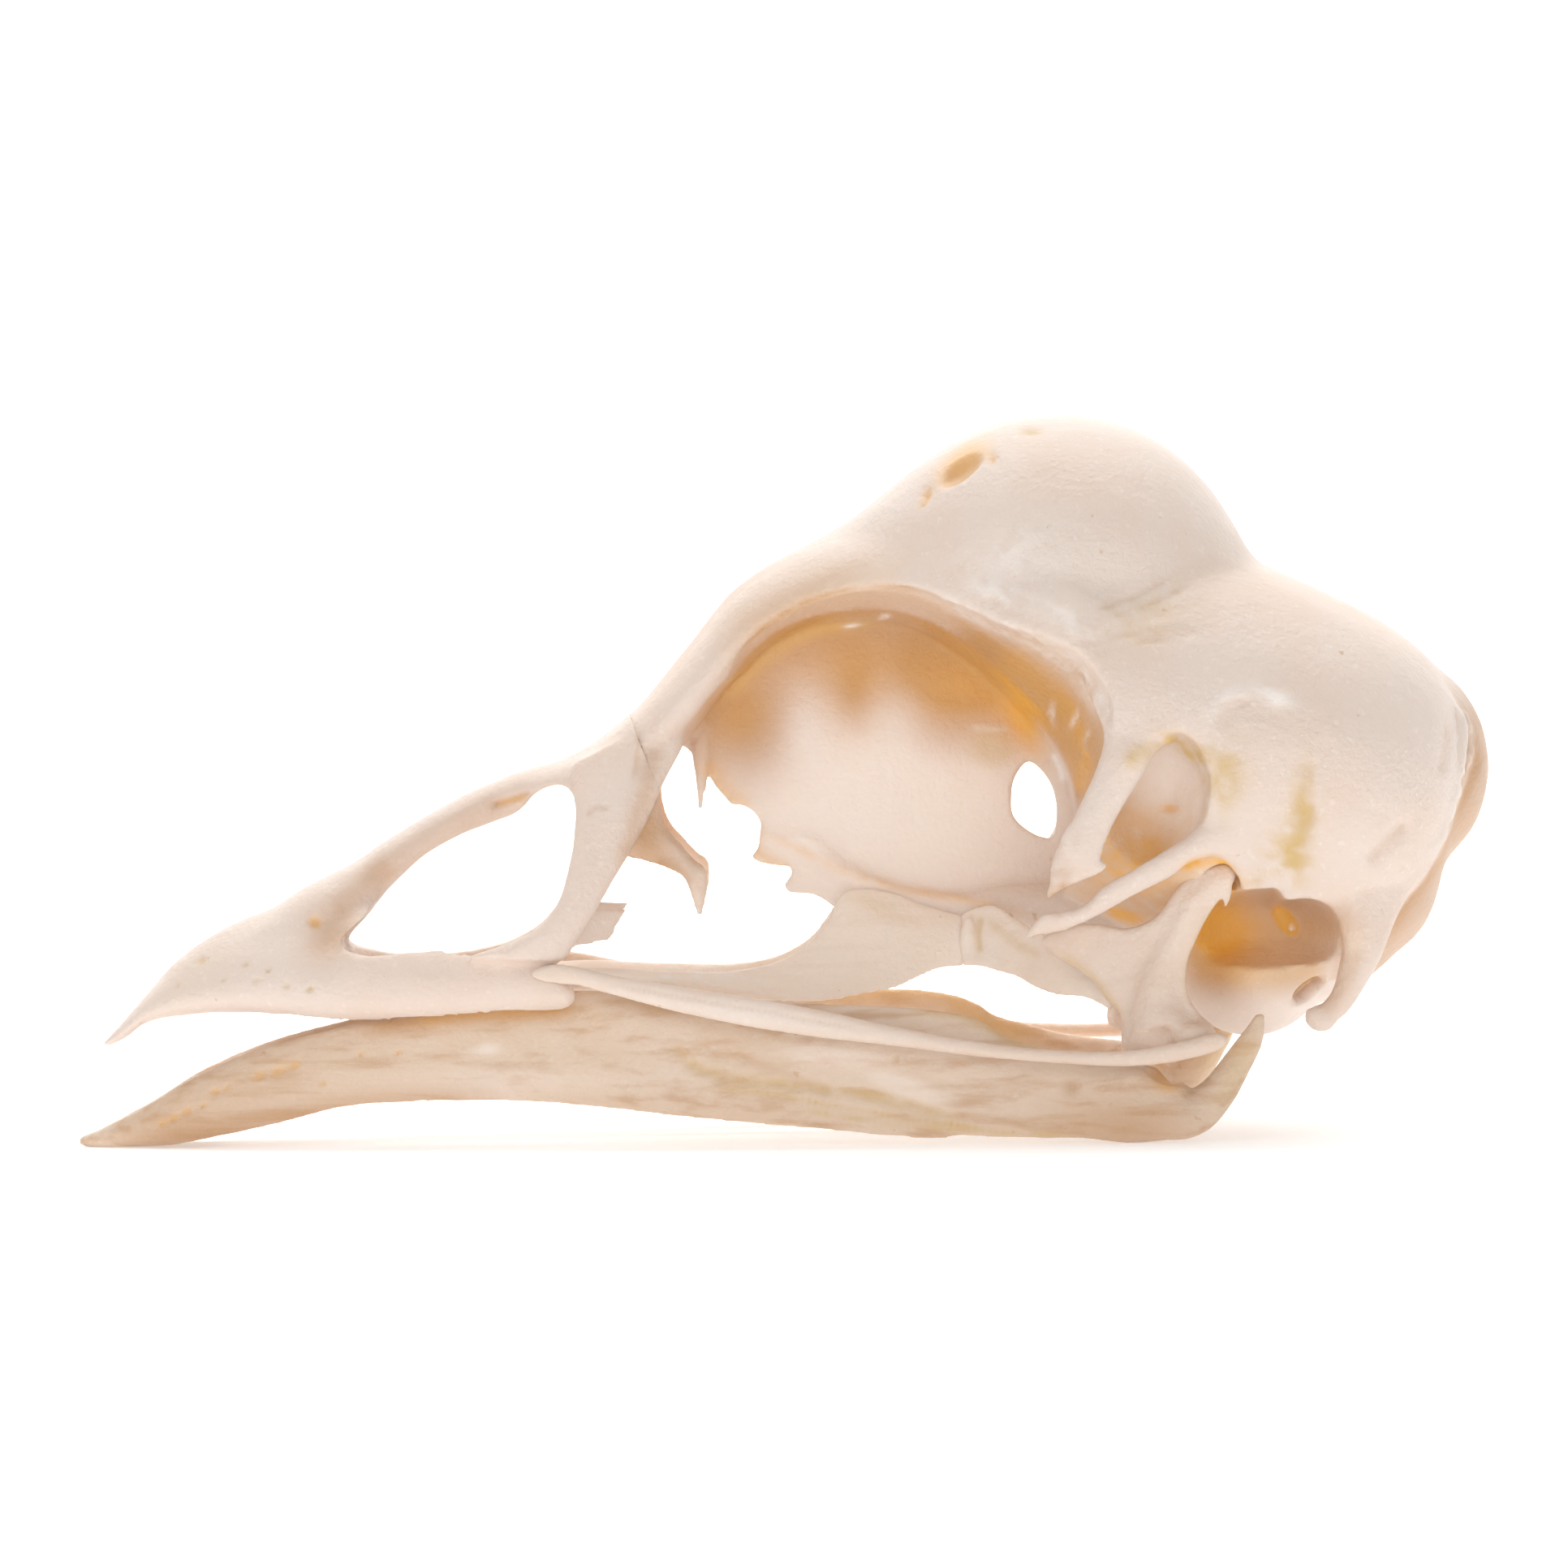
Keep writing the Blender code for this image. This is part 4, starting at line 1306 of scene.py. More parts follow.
    @staticmethod
    def nuchal_crest(side: Side) -> Grid:
        """The rounded ridge where the side wall turns into the back of the skull."""
        return bar(side, [
            (34.6, 4.0, 22.9, 0.5, 0.5), (35.2, 5.2, 21.0, 0.75, 0.7), (34.9, 6.2, 19.4, 0.8, 0.75),
            (34.3, 7.0, 17.9, 0.85, 0.8), (33.6, 7.5, 16.3, 0.9, 0.8), (32.7, 8.0, 14.6, 0.9, 0.8),
            (31.6, 8.7, 12.6, 0.8, 0.7), (30.6, 9.4, 10.2, 0.6, 0.6)], 60, 20)

    @staticmethod
    def ear(side: Side) -> Grid:
        """The ear's hollow, square in the side view, with a ragged upper edge.

        Inward its outline shrinks towards a place above its middle.

        Args:
            side: the side of the head.

        Returns:
            The hollow to cut.
        """
        rim = smooth_loop([
            (21.6, 12.4), (22.3, 12.5), (23.2, 12.9), (24.4, 13.05), (25.5, 13.05), (25.9, 12.5),
            (26.7, 12.55), (27.4, 12.5), (28.3, 12.05), (28.8, 11.2), (29.0, 9.9), (28.95, 9.2),
            (28.5, 8.95), (26.0, 8.75), (23.0, 8.75), (20.9, 8.8), (20.5, 9.4), (20.6, 11.0)], 90)
        depths = np.array([6.2, 6.6, 7.3, 8.2, 9.4, 11.0, 14.0, 19.0])
        grow = np.array([0.42, 0.6, 0.76, 0.88, 0.95, 1.0, 1.02, 1.04])
        middle = np.array([25.2, 11.2])
        return layers(middle + (rim - middle) * grow[:, None, None], side.value * depths)

    @staticmethod
    def quadrate_seat(side: Side) -> Grid:
        """The room in which the quadrate's head sits."""
        return ball((22.6, side.value * 11.6, 13.4), (1.0, 1.8, 1.05), -30, 20, 24)

    def fenestra(self) -> Grid:
        """The oval gap at the back of the septum."""
        outline = smooth_loop([
            (13.0, 19.65), (12.3, 18.9), (12.05, 17.8), (12.15, 16.75), (12.8, 16.05),
            (13.5, 15.65), (14.2, 15.55), (14.45, 16.6), (14.35, 18.0), (13.7, 19.15)], 48)
        return slab(outline, -6 * self.septum_half, 6 * self.septum_half)

    @staticmethod
    def knob_hole() -> Grid:
        """The slanted gap in the left side of the knob."""
        return ball((9.6, -6.6, 35.3), (1.5, 1.3, 0.72), -41, 24, 28)

    @staticmethod
    def foramen_magnum() -> Grid:
        """The recess for the spinal cord under the back of the skull."""
        return ball((33.0, 0.0, 9.3), (2.6, 2.6, 3.4), 35)

    def marks(self) -> list[Mark]:
        """Relief and stains of the braincase, knob and orbits."""
        return self.orbit_marks() + self.temple_marks() + self.knob_marks() + UpperBill.hinge_marks()

    @staticmethod
    def orbit_marks() -> list[Mark]:
        """The thin septum, painted pale for the light through it, its amber parts, and the vault and rim
        round it, with painted shade and painted glints.

        Returns:
            The orbit's marks.
        """
        wall = (0.0, 1.4)
        vault = (1.6, 12.4)
        rim = [(-3.3, 24.4), (-0.9, 27.0), (1.5, 28.4), (4.2, 29.0), (7.1, 28.9), (9.1, 28.0),
               (11.8, 26.8), (14.4, 25.4), (15.9, 23.8), (16.8, 21.9)]
        return within(wall, [
            # painted light: the septum made pale, and whiter in its middle, as thin bone with light coming
            # through it
            Spot(PALE, 1.0, (4.6, 18.0), (9.8, 6.6), flat=4.0),
            Spot(WHITE, 0.25, (5.0, 17.4), (7.6, 3.6)),
            Spot(TAN, 0.5, (3.8, 23.3), (1.1, 1.9)),
            Spot(AMBER, 0.15, (3.8, 23.3), (1.6, 1.9)),
            Spot(TAN, 0.25, (-1.4, 21.0), (1.8, 2.6)),
            Spot(TAN, 0.6, (8.2, 23.4), (2.4, 1.7), -30),
            Spot(AMBER, 0.3, (8.4, 23.0), (2.3, 1.6), -30),
            Spot(TAN, 0.3, (8.8, 21.0), (3.0, 1.2), -14),
            Spot(YELLOW, 0.5, (11.1, 20.4), (1.25, 1.1), height=0.1, flat=4.0),
            Line(WHITE, 0.4, [(10.0, 21.5), (12.1, 21.4)], 0.12, height=0.1),
            Spot(WHITE, 0.4, (1.2, 21.6), (0.95, 2.0), 4),
            Spot(WHITE, 0.3, (6.1, 21.6), (1.3, 1.8), -6),
            Line(AMBER, 0.4, [(-4.2, 20.0), (-3.2, 18.4), (-1.9, 17.3)], 0.6),
            Line(AMBER, 0.4, [(-1.5, 16.9), (-1.6, 15.3), (-0.9, 14.6), (0.3, 14.0)], 0.45),
        ]) + within((0.0, 5.0), [
            Spot(TAN, 0.75, (-2.6, 22.2), (2.8, 2.8), 50),
            Spot(AMBER, 0.35, (-2.5, 22.4), (2.2, 1.8), 50),
            # painted glints on the ridge under the roof
            Spot(WHITE, 1.0, (3.75, 27.1), (0.42, 0.14), 10),
            Spot(WHITE, 0.9, (5.5, 27.5), (0.3, 0.12), 10),
        ]) + within((0.0, 3.0), [
            # painted shade under the roof of the orbit, with amber tone
            Spot(TAN, 0.8, (4.2, 26.0), (7.4, 3.1), -4),
            Spot(AMBER, 0.3, (4.2, 25.4), (6.8, 2.2), -4),
            Spot(TAN, 0.85, (10.2, 24.0), (3.0, 1.7), -42),
            Spot(AMBER, 0.45, (10.8, 23.4), (2.8, 1.4), -42),
            Spot(AMBER, 0.9, (12.8, 21.8), (0.9, 1.9), 20),
        ]) + within((0.2, 5.0), [
            Line(YELLOW, 0.55, [(-3.1, 23.2), (-1.5, 24.8), (0.2, 26.1), (2.3, 26.95), (3.7, 27.1),
                                (5.5, 27.3)], 0.34, height=0.2),
            Line(AMBER, 0.25, [(-3.1, 23.2), (-1.5, 24.8), (0.2, 26.1), (2.3, 26.95), (3.7, 27.1)], 0.5),
        ]) + within(vault, [
            # painted shade in the back of the vault, with amber tone
            Line(TAN, 0.9, [(8.6, 26.6), (11.6, 25.0), (14.0, 23.0), (15.4, 20.8), (15.6, 18.6),
                            (15.0, 16.6)], 1.7),
            Line(AMBER, 0.4, [(11.0, 25.4), (13.2, 23.9), (14.9, 22.0), (15.5, 19.8), (15.2, 17.4)], 1.5),
            Line(AMBER, 0.3, [(14.6, 23.3), (15.5, 21.6), (15.8, 19.6), (15.4, 17.6)], 0.3, height=-0.1,
                 rough=0.8),
            # painted glints on the back wall
            Spot(WHITE, 0.7, (15.3, 22.0), (0.12, 0.5), -15, rough=0.5),
            Spot(WHITE, 0.6, (15.9, 21.0), (0.1, 0.5), -10, rough=0.5),
        ]) + within((7.6, OUT), [
            Line(WHITE, 0.4, rim[4:], 0.5, height=0.08, rough=0.6),
            Line(WHITE, 0.35, [(9.6, 29.3), (12.4, 28.3), (14.8, 27.2), (16.9, 25.9)], 0.5, height=0.12,
                 rough=1.0),
        ]) + within((11.0, OUT), [
            Spot(WHITE, 0.3, (14.3, 15.2), (1.5, 0.9), 60, height=0.05, rough=1.0),
            Spot(TAN, 0.5, (14.6, 17.0), (0.3, 0.2), 60, height=-0.1, rough=0.6),
            Spot(TAN, 0.5, (14.1, 13.8), (0.8, 0.5), 60, height=-0.08, rough=1.0),
        ]) + [
            Line(AMBER, 0.3, [(-1.3, 16.2), (0.7, 15.2), (2.8, 14.2), (5.5, 13.1), (8.5, 12.5),
                              (12.8, 11.6)], 0.26, height=0.1, rough=0.4, depth=(0.0, 2.6)),
            Line(TAN, 0.6, [(-3.0, 23.5), (-1.4, 25.1), (0.3, 26.4), (2.4, 27.3)], 0.25, height=-0.12,
                 depth=(0.8, 6.0)),
            # painted shade in the band under the rim
            Line(TAN, 0.35, rim, 1.5, depth=(1.6, 7.0)),
            Line(AMBER, 0.15, rim, 1.7, depth=(1.6, 8.0)),
            # painted glints beside the fenestra and on the back wall
            Line(WHITE, 1.0, [(14.3, 20.1), (14.7, 19.2), (14.85, 18.5)], 0.16, depth=(0.0, 6.0)),
            Spot(WHITE, 0.9, (14.2, 22.2), (0.1, 0.55), 10, depth=(1.0, 9.0)),
            # painted shade in the crease along the rim's inner edge
            Line(TAN, 0.5, rim, 0.16, height=-0.08, rough=0.3, depth=(5.5, 14.0)),
        ]

    @staticmethod
    def temple_marks() -> list[Mark]:
        """The hollow of the temple, the ear and the back of the skull, with painted light and shade in their
        hollows, a painted highlight on the amber drop, and a painted shadow behind the crest.
        """
        side = (8.0, OUT)
        return within(side, [
            Line(WHITE, 0.3, [(21.6, 21.4), (22.3, 22.6), (23.3, 23.4), (24.5, 23.6), (25.6, 23.1),
                              (26.7, 22.5)], 0.34, height=0.14, rough=0.6),
            Line(None, 0, [(22.3, 21.6), (23.1, 22.5), (24.4, 22.8)], 0.7, height=-0.12),
            Spot(WHITE, 0.7, (25.6, 22.9), (0.9, 0.25), -30, height=0.06, rough=1.0),
            Line(YELLOW, 0.75, [(17.6, 19.6), (18.6, 20.5), (20.0, 21.0), (21.2, 20.3), (22.1, 19.7)], 0.42,
                 height=0.12, rough=0.7),
            Spot(YELLOW, 0.6, (22.7, 19.0), (0.95, 1.8), -12, height=-0.05, rough=1.0),
            Spot(YELLOW, 0.65, (26.8, 17.0), (0.7, 2.3), -4, height=-0.2, rough=0.8),
            Spot(TAN, 0.2, (26.9, 17.2), (0.35, 1.6), -4, rough=0.8),
            Spot(YELLOW, 0.7, (25.9, 14.6), (1.0, 1.3), 20, height=-0.05, rough=1.0),
            Spot(YELLOW, 0.3, (24.4, 13.8), (0.4, 0.7), height=-0.1, rough=0.6),
        ]) + within((5.0, 12.4), [
            # painted light on the upper wall of the temporal hollow
            Spot(PALE, 1.0, (19.2, 17.4), (2.8, 4.2), 24, flat=2.5),
            Spot(WHITE, 0.35, (20.0, 18.8), (1.8, 2.2), 24),
        ]) + within((4.0, 12.2), [
            # painted shade in the deep lower part of the temporal hollow, with amber tone
            Spot(TAN, 0.55, (18.2, 14.6), (2.8, 3.2), 24, rough=0.2),
            Spot(AMBER, 0.6, (18.0, 14.4), (2.7, 3.0), 24, rough=0.3),
        ]) + within((3.0, 11.4), [
            Spot(AMBER, 0.95, (22.3, 10.9), (2.2, 2.3), flat=2.5),
            # painted shade along the foot of the ear hollow, tan with amber
            Line(AMBER, 0.3, [(20.9, 8.6), (23.0, 8.4), (26.0, 8.4), (28.4, 8.6)], 0.8),
            Line(TAN, 0.3, [(20.9, 8.4), (23.0, 8.1), (26.0, 8.1), (28.4, 8.5)], 0.9),
        ]) + within((3.0, 10.4), [
            Spot(AMBER, 1.6, (26.2, 11.2), (0.45, 0.9), 35, height=0.2, flat=6.0),
            # painted highlight on the amber drop
            Spot(WHITE, 1.0, (26.55, 10.8), (0.14, 0.14), height=0.1, flat=3.0),
        ]) + within((4.0, 10.6), [
            # painted shade in the pit
            Spot(TAN, 0.8, (27.3, 7.5), (0.9, 0.48), 38, height=-1.0, flat=8.0),
            Line(PALE, 0.8, [(26.4, 6.8), (28.2, 8.2)], 0.16, height=0.7),
        ]) + within((4.0, OUT), [
            Line(TAN, 0.15, [(30.2, 14.3), (31.4, 15.5), (32.4, 16.4)], 0.4, height=-0.22),
            Line(None, 0, [(33.6, 14.0), (32.2, 12.6), (31.2, 10.6), (30.4, 8.8)], 0.36, height=0.12),
        ]) + within((6.0, OUT), [
            Line(None, 0, [(29.2, 13.4), (29.6, 11.4), (29.3, 9.0), (28.7, 7.0)], 0.35, height=0.12),
            # painted shade along the wing's rear edge
            Line(TAN, 0.4, [(29.6, 9.9), (29.2, 8.6), (28.5, 7.3), (27.7, 6.5)], 0.5),
        ]) + within((2.0, OUT), [
            # painted shadow behind the crest at the back and in the fold above it
            Line(TAN, 0.3, [(36.3, 20.6), (36.6, 19.6), (36.1, 18.2), (35.6, 17.2), (35.2, 16.2),
                            (34.7, 15.0), (33.9, 13.6), (32.4, 12.0), (31.2, 9.9)], 0.45, height=-0.06),
            Line(TAN, 0.2, [(34.7, 21.5), (34.6, 20.0), (34.2, 18.8)], 0.3, height=-0.12),
        ]) + [
            Spot(AMBER, 1.0, (20.0, 17.3), (0.38, 0.2), height=-0.2, depth=(4.0, 13.4)),
            Line(AMBER, 1.0, [(16.9, 11.8), (17.9, 11.5), (18.7, 11.3)], 0.35, depth=(2.0, 10.9)),
            Line(AMBER, 0.8, [(20.3, 14.1), (21.4, 14.5), (22.4, 14.5), (23.2, 13.8)], 0.3, height=-0.12,
                 rough=0.3, depth=(5.0, OUT)),
            Spot(AMBER, 0.7, (22.6, 13.6), (1.1, 0.9), 20, rough=0.4, depth=(5.0, 12.6)),
            Spot(TAN, 0.5, (25.8, 11.5), (4.0, 1.5), flat=4.0, depth=(3.0, 11.6)),
            Spot(AMBER, 0.4, (25.4, 10.3), (3.8, 1.5), flat=3.0, depth=(3.0, 12.0)),
            Spot(PALE, 0.6, (24.6, 7.0), (3.4, 1.6), flat=3.0, depth=(2.0, 10.4)),
            Spot(TAN, 0.45, (14.0, 13.5), (1.0, 0.9), 30, rough=0.8, depth=(11.0, OUT)),
            Line(WHITE, 0.25, [(35.4, 22.8), (36.0, 21.0), (35.9, 19.2), (35.2, 17.6), (34.6, 15.8),
                               (33.6, 14.0)], 0.32, height=0.16, rough=0.5),
            # painted shade in the recess for the spinal cord
            Spot(TAN, 0.9, (31.4, 10.0), (1.3, 2.8), 35, flat=4.0, depth=(0.0, 2.3)),
        ]

    @staticmethod
    def knob_marks() -> list[Mark]:
        """The knob's hole with its small pits, and the furrows between knob and orbit with painted shade in
        them.

        Returns:
            The knob's marks.
        """
        furrows = [((16.9, 27.3), (19.5, 28.1), (21.2, 28.8)), ((17.6, 27.0), (20.2, 27.6), (22.2, 28.3)),
                   ((17.1, 26.3), (19.0, 26.5), (21.0, 26.9)), ((16.4, 27.7), (18.6, 28.5), (20.2, 29.2)),
                   ((18.4, 26.0), (20.0, 26.2), (21.6, 26.6))]
        # painted shade: tan laid in the furrows
        marks: list[Mark] = [Line(TAN, 0.1, path, 0.16, height=-0.1, rough=0.3, depth=(6.0, OUT))
                             for path in furrows]
        outer = (3.0, OUT)
        return marks + within(outer, [
            Spot(AMBER, 0.6, (7.7, 33.9), (0.24, 0.36), -20, height=-0.25),
            Spot(AMBER, 0.5, (7.5, 33.4), (0.14, 0.2), -20, height=-0.15),
            Spot(AMBER, 0.5, (11.2, 35.7), (0.2, 0.25), height=-0.2),
        ], Side.LEFT) + [
            Spot(YELLOW, 0.25, (18.8, 27.3), (2.6, 1.2), 25, rough=0.8, depth=(6.0, OUT)),
            Spot(AMBER, 0.7, (9.65, 35.4), (1.7, 0.85), 41, flat=3.0, depth=(3.0, 6.7), only=Side.LEFT),
            Spot(YELLOW, 0.7, (13.3, 37.1), (0.55, 0.2), height=-0.12, depth=(0.0, OUT), only=Side.LEFT),
            Spot(WHITE, 0.25, (12.0, 30.6), (2.6, 1.3), 10, height=0.02, rough=1.0, depth=outer),
        ]


@dataclass
class UpperBill(Bone):
    """The upper bill with its long nostril, open palate and the struts behind the nostril.

    Attributes:
        soft_voxel: mesh size of its melted form in millimetres.
        soft_rounds: rounds of smoothing that melt it.
    """

    soft_voxel: float = 0.3
    soft_rounds: int = 8

    def shape(self) -> bpy.types.Object:
        """Tip, edges and ridge melted, hollowed, then joined by the struts and the head's front.

        Returns:
            The bone's object, not yet dressed.
        """
        struts = [self.strut(side) for side in Side]
        bill = Workshop.union("bill", [self.sides(), self.ridge(), self.root()] + struts)
        Workshop.skin(bill, self.soft_voxel, self.soft_rounds)
        Workshop.combine(bill, [self.palate(), self.room()], "DIFFERENCE")
        Workshop.combine(bill, struts + [self.flap(side) for side in Side], "UNION")
        Workshop.combine(bill, [self.nostril(side) for side in Side], "DIFFERENCE")
        front = Workshop.slice_off(Head().build("front"), (-3.0, 0.0, 20.0), (1.0, 0.0, 0.0))
        return Workshop.join(bill, front)

    def trim(self, thing: bpy.types.Object) -> bpy.types.Object:
        """Cut at the hinge."""
        return Hinge().part(thing, -1)

    @staticmethod
    def sides() -> Grid:
        """The solid tip and the two lower edges behind it, rounded off at their ends."""
        return upright([
            (-36.75, 5.45, 5.25, 5.05, 0.3), (-36.2, 5.9, 5.6, 5.3, 0.6), (-35.3, 6.8, 6.1, 5.75, 1.05),
            (-34.2, 8.0, 7.0, 6.6, 1.8), (-32.4, 9.9, 7.9, 6.95, 2.8), (-30.0, 11.5, 8.3, 7.1, 3.7),
            (-27.0, 12.7, 8.5, 6.85, 4.5),
            (-24.0, 13.8, 8.6, 6.4, 5.1), (-21.5, 13.4, 8.7, 6.3, 5.7), (-18.0, 12.4, 8.7, 6.3, 6.4),
            (-14.5, 11.6, 8.8, 6.45, 7.2), (-12.3, 10.4, 8.6, 6.6, 7.75), (-11.5, 9.6, 8.2, 6.85, 7.8),
            (-11.1, 8.6, 8.0, 7.3, 7.5)], 90, 64, 1.7, 3.2)

    @staticmethod
    def root() -> Grid:
        """The swelling where the ridge rises out of the tip."""
        return bar(None, [
            (-30.0, 0.0, 9.6, 1.0, 2.6), (-27.0, 0.0, 11.0, 1.5, 3.2), (-24.3, 0.0, 12.4, 1.7, 3.2),
            (-22.2, 0.0, 13.9, 1.3, 2.4), (-20.5, 0.0, 15.2, 0.9, 1.9)], 30, 32)

    @staticmethod
    def palate() -> Grid:
        """The hollow of the palate between the edges of the bill."""
        return upright([
            (-31.0, 7.8, 7.0, 6.0, 1.2), (-27.0, 8.3, 7.0, 5.6, 2.8), (-23.0, 8.9, 7.0, 5.4, 4.0),
            (-20.0, 9.2, 7.2, 5.4, 4.6)], 30, 32, 2.0, 2.0)

    @staticmethod
    def room() -> Grid:
        """The room between the two lower edges, open above and below."""
        return upright([
            (-23.0, 10.6, 9.6, 8.4, 1.6), (-22.3, 11.4, 9.4, 6.4, 3.6), (-21.0, 13.0, 9.2, 3.5, 4.5),
            (-18.0, 15.0, 9.0, 2.5, 5.3), (-14.5, 14.5, 9.0, 2.5, 6.2), (-10.0, 14.0, 9.0, 2.5, 6.9)],
            30, 40, 4.0, 4.0)

    @staticmethod
    def ridge() -> Grid:
        """The bar along the top, which spreads towards the hinge."""
        return upright([
            (-26.0, 12.9, 11.0, 9.0, 3.0), (-24.5, 13.8, 12.0, 10.2, 2.8), (-22.0, 15.55, 14.1, 12.6, 2.3),
            (-18.0, 17.9, 16.7, 15.3, 2.0), (-14.2, 19.55, 18.5, 17.0, 2.3), (-11.8, 20.2, 18.7, 17.2, 3.6),
            (-10.0, 21.15, 19.2, 17.2, 4.9), (-8.0, 22.7, 20.6, 18.3, 5.6), (-5.0, 26.05, 23.3, 21.3, 6.15)],
            60, 44, 2.0, 2.0)

    @staticmethod
    def strut(side: Side) -> Grid:
        """The broad strut behind the nostril, which leans in towards its rear edge."""
        return blade(side, [
            (-11.2, 3.3, 20.0, -5.0, 4.0, 23.0, 1.1), (-11.1, 4.5, 18.8, -5.3, 4.9, 20.9, 0.95),
            (-11.1, 5.45, 17.6, -6.35, 5.5, 18.9, 0.8), (-11.15, 6.1, 16.4, -7.2, 5.8, 17.0, 0.72),
            (-11.35, 6.5, 15.0, -8.0, 6.0, 15.6, 0.68), (-11.7, 6.8, 13.7, -8.9, 6.3, 14.2, 0.66),
            (-12.2, 7.0, 12.5, -9.7, 6.6, 12.8, 0.66), (-13.1, 7.1, 11.5, -10.4, 6.8, 11.7, 0.68),
            (-14.6, 7.0, 10.8, -11.0, 7.0, 10.8, 0.7), (-17.0, 6.7, 10.0, -11.6, 7.1, 9.8, 0.65)],
            70, 36, 2.3)

    @staticmethod
    def flap(side: Side) -> Grid:
        """The thin ragged plate inside the foot of the strut."""
        return blade(side, [
            (-11.6, 6.4, 12.3, -11.6, 6.4, 10.3, 0.4), (-10.6, 5.8, 12.5, -10.7, 5.8, 10.45, 0.3),
            (-9.7, 5.2, 12.5, -9.8, 5.2, 10.6, 0.25), (-9.1, 4.9, 12.45, -9.2, 4.9, 10.8, 0.22),
            (-8.7, 4.7, 12.4, -8.9, 4.7, 11.5, 0.2), (-8.35, 4.6, 12.5, -8.5, 4.6, 12.1, 0.14)], 24, 16)

    @staticmethod
    def nostril(side: Side) -> Grid:
        """One side of the long nostril, with a lower floor on the right.

        Args:
            side: the side of the head.

        Returns:
            The hollow to cut.
        """
        outline = smooth_loop([
            (-23.35, 10.7), (-23.1, 11.2), (-22.3, 12.0), (-21.7, 12.8), (-20.9, 13.65), (-19.2, 15.2),
            (-17.4, 16.2), (-15.6, 16.9), (-14.1, 17.5), (-13.2, 18.4), (-12.3, 18.85), (-11.5, 18.8),
            (-11.05, 18.0), (-11.1, 16.2), (-11.4, 14.6), (-12.0, 12.8), (-13.0, 11.75), (-14.6, 11.1),
            (-17.0, 10.6), (-20.0, 10.3), (-22.4, 10.15)], 120)
        if side is Side.RIGHT:
            outline[:, 1] -= 0.75 * (1 - eased(outline[:, 1], 11.0, 1.2)) * eased(outline[:, 0], -22.5, 3.0)
        return slab(outline, -0.5 * side.value, 12.0 * side.value)

    def marks(self) -> list[Mark]:
        """Pits of the tip, the funnel before the nostril with painted shade in it, its amber spot, and a
        fold with painted shade above the nostril's rear.

        Returns:
            The bill's marks.
        """
        pits = ((-31.0, 9.9, 0.28), (-28.6, 9.7, 0.16), (-28.0, 8.9, 0.2), (-27.4, 9.4, 0.15),
                (-26.4, 8.6, 0.2), (-25.2, 8.4, 0.22), (-29.8, 8.9, 0.13), (-32.3, 8.6, 0.13))
        marks: list[Mark] = [Spot(YELLOW, 0.5, (x, z), (r, r * 0.7), 20, height=-0.12, rough=0.3)
                             for x, z, r in pits]
        return marks + self.hinge_marks() + within((1.0, OUT), [
            # painted shade in the funnel
            Spot(TAN, 0.55, (-24.2, 11.3), (1.2, 1.6), -35, height=-0.45),
            Spot(AMBER, 0.7, (-25.0, 12.0), (0.3, 0.25), height=-0.2),
        ]) + within((0.5, 4.0), [
            # painted shade in the fold, with amber tone
            Line(TAN, 0.5, [(-15.6, 17.8), (-14.3, 18.1), (-13.4, 18.5)], 0.26, height=-0.22),
            Line(AMBER, 0.4, [(-15.2, 17.9), (-13.6, 18.2)], 0.2),
        ]) + [
            Line(TAN, 0.3, [(-24.0, 12.4), (-22.6, 13.6), (-20.8, 15.0)], 0.8),
            Line(TAN, 0.3, [(-22.6, 13.6), (-18.6, 16.4), (-14.6, 18.0)], 1.0),
            Line(TAN, 0.15, [(-10.4, 17.3), (-9.9, 17.8), (-9.2, 17.7)], 0.16, height=-0.1,
                 depth=(3.0, OUT)),
            Spot(None, 0, (-9.8, 16.4), (0.8, 1.6), -10, height=-0.1, depth=(4.0, OUT)),
            Spot(YELLOW, 0.1, (-31.5, 9.4), (3.6, 1.8), 30, depth=(0.0, OUT)),
        ]

    @staticmethod
    def hinge_marks() -> list[Mark]:
        """The shaded strip along the rear of the strut, which the skull shares, and the suture."""
        return within((2.0, OUT), [
            Line(TAN, 0.45, [(-6.6, 21.3), (-7.0, 20.0), (-7.2, 18.8), (-7.7, 17.4), (-8.1, 16.0),
                             (-8.8, 14.6)], 0.6),
            Line(TAN, 0.3, [(-7.6, 21.8), (-7.7, 20.5), (-7.9, 19.2)], 0.16),
        ])


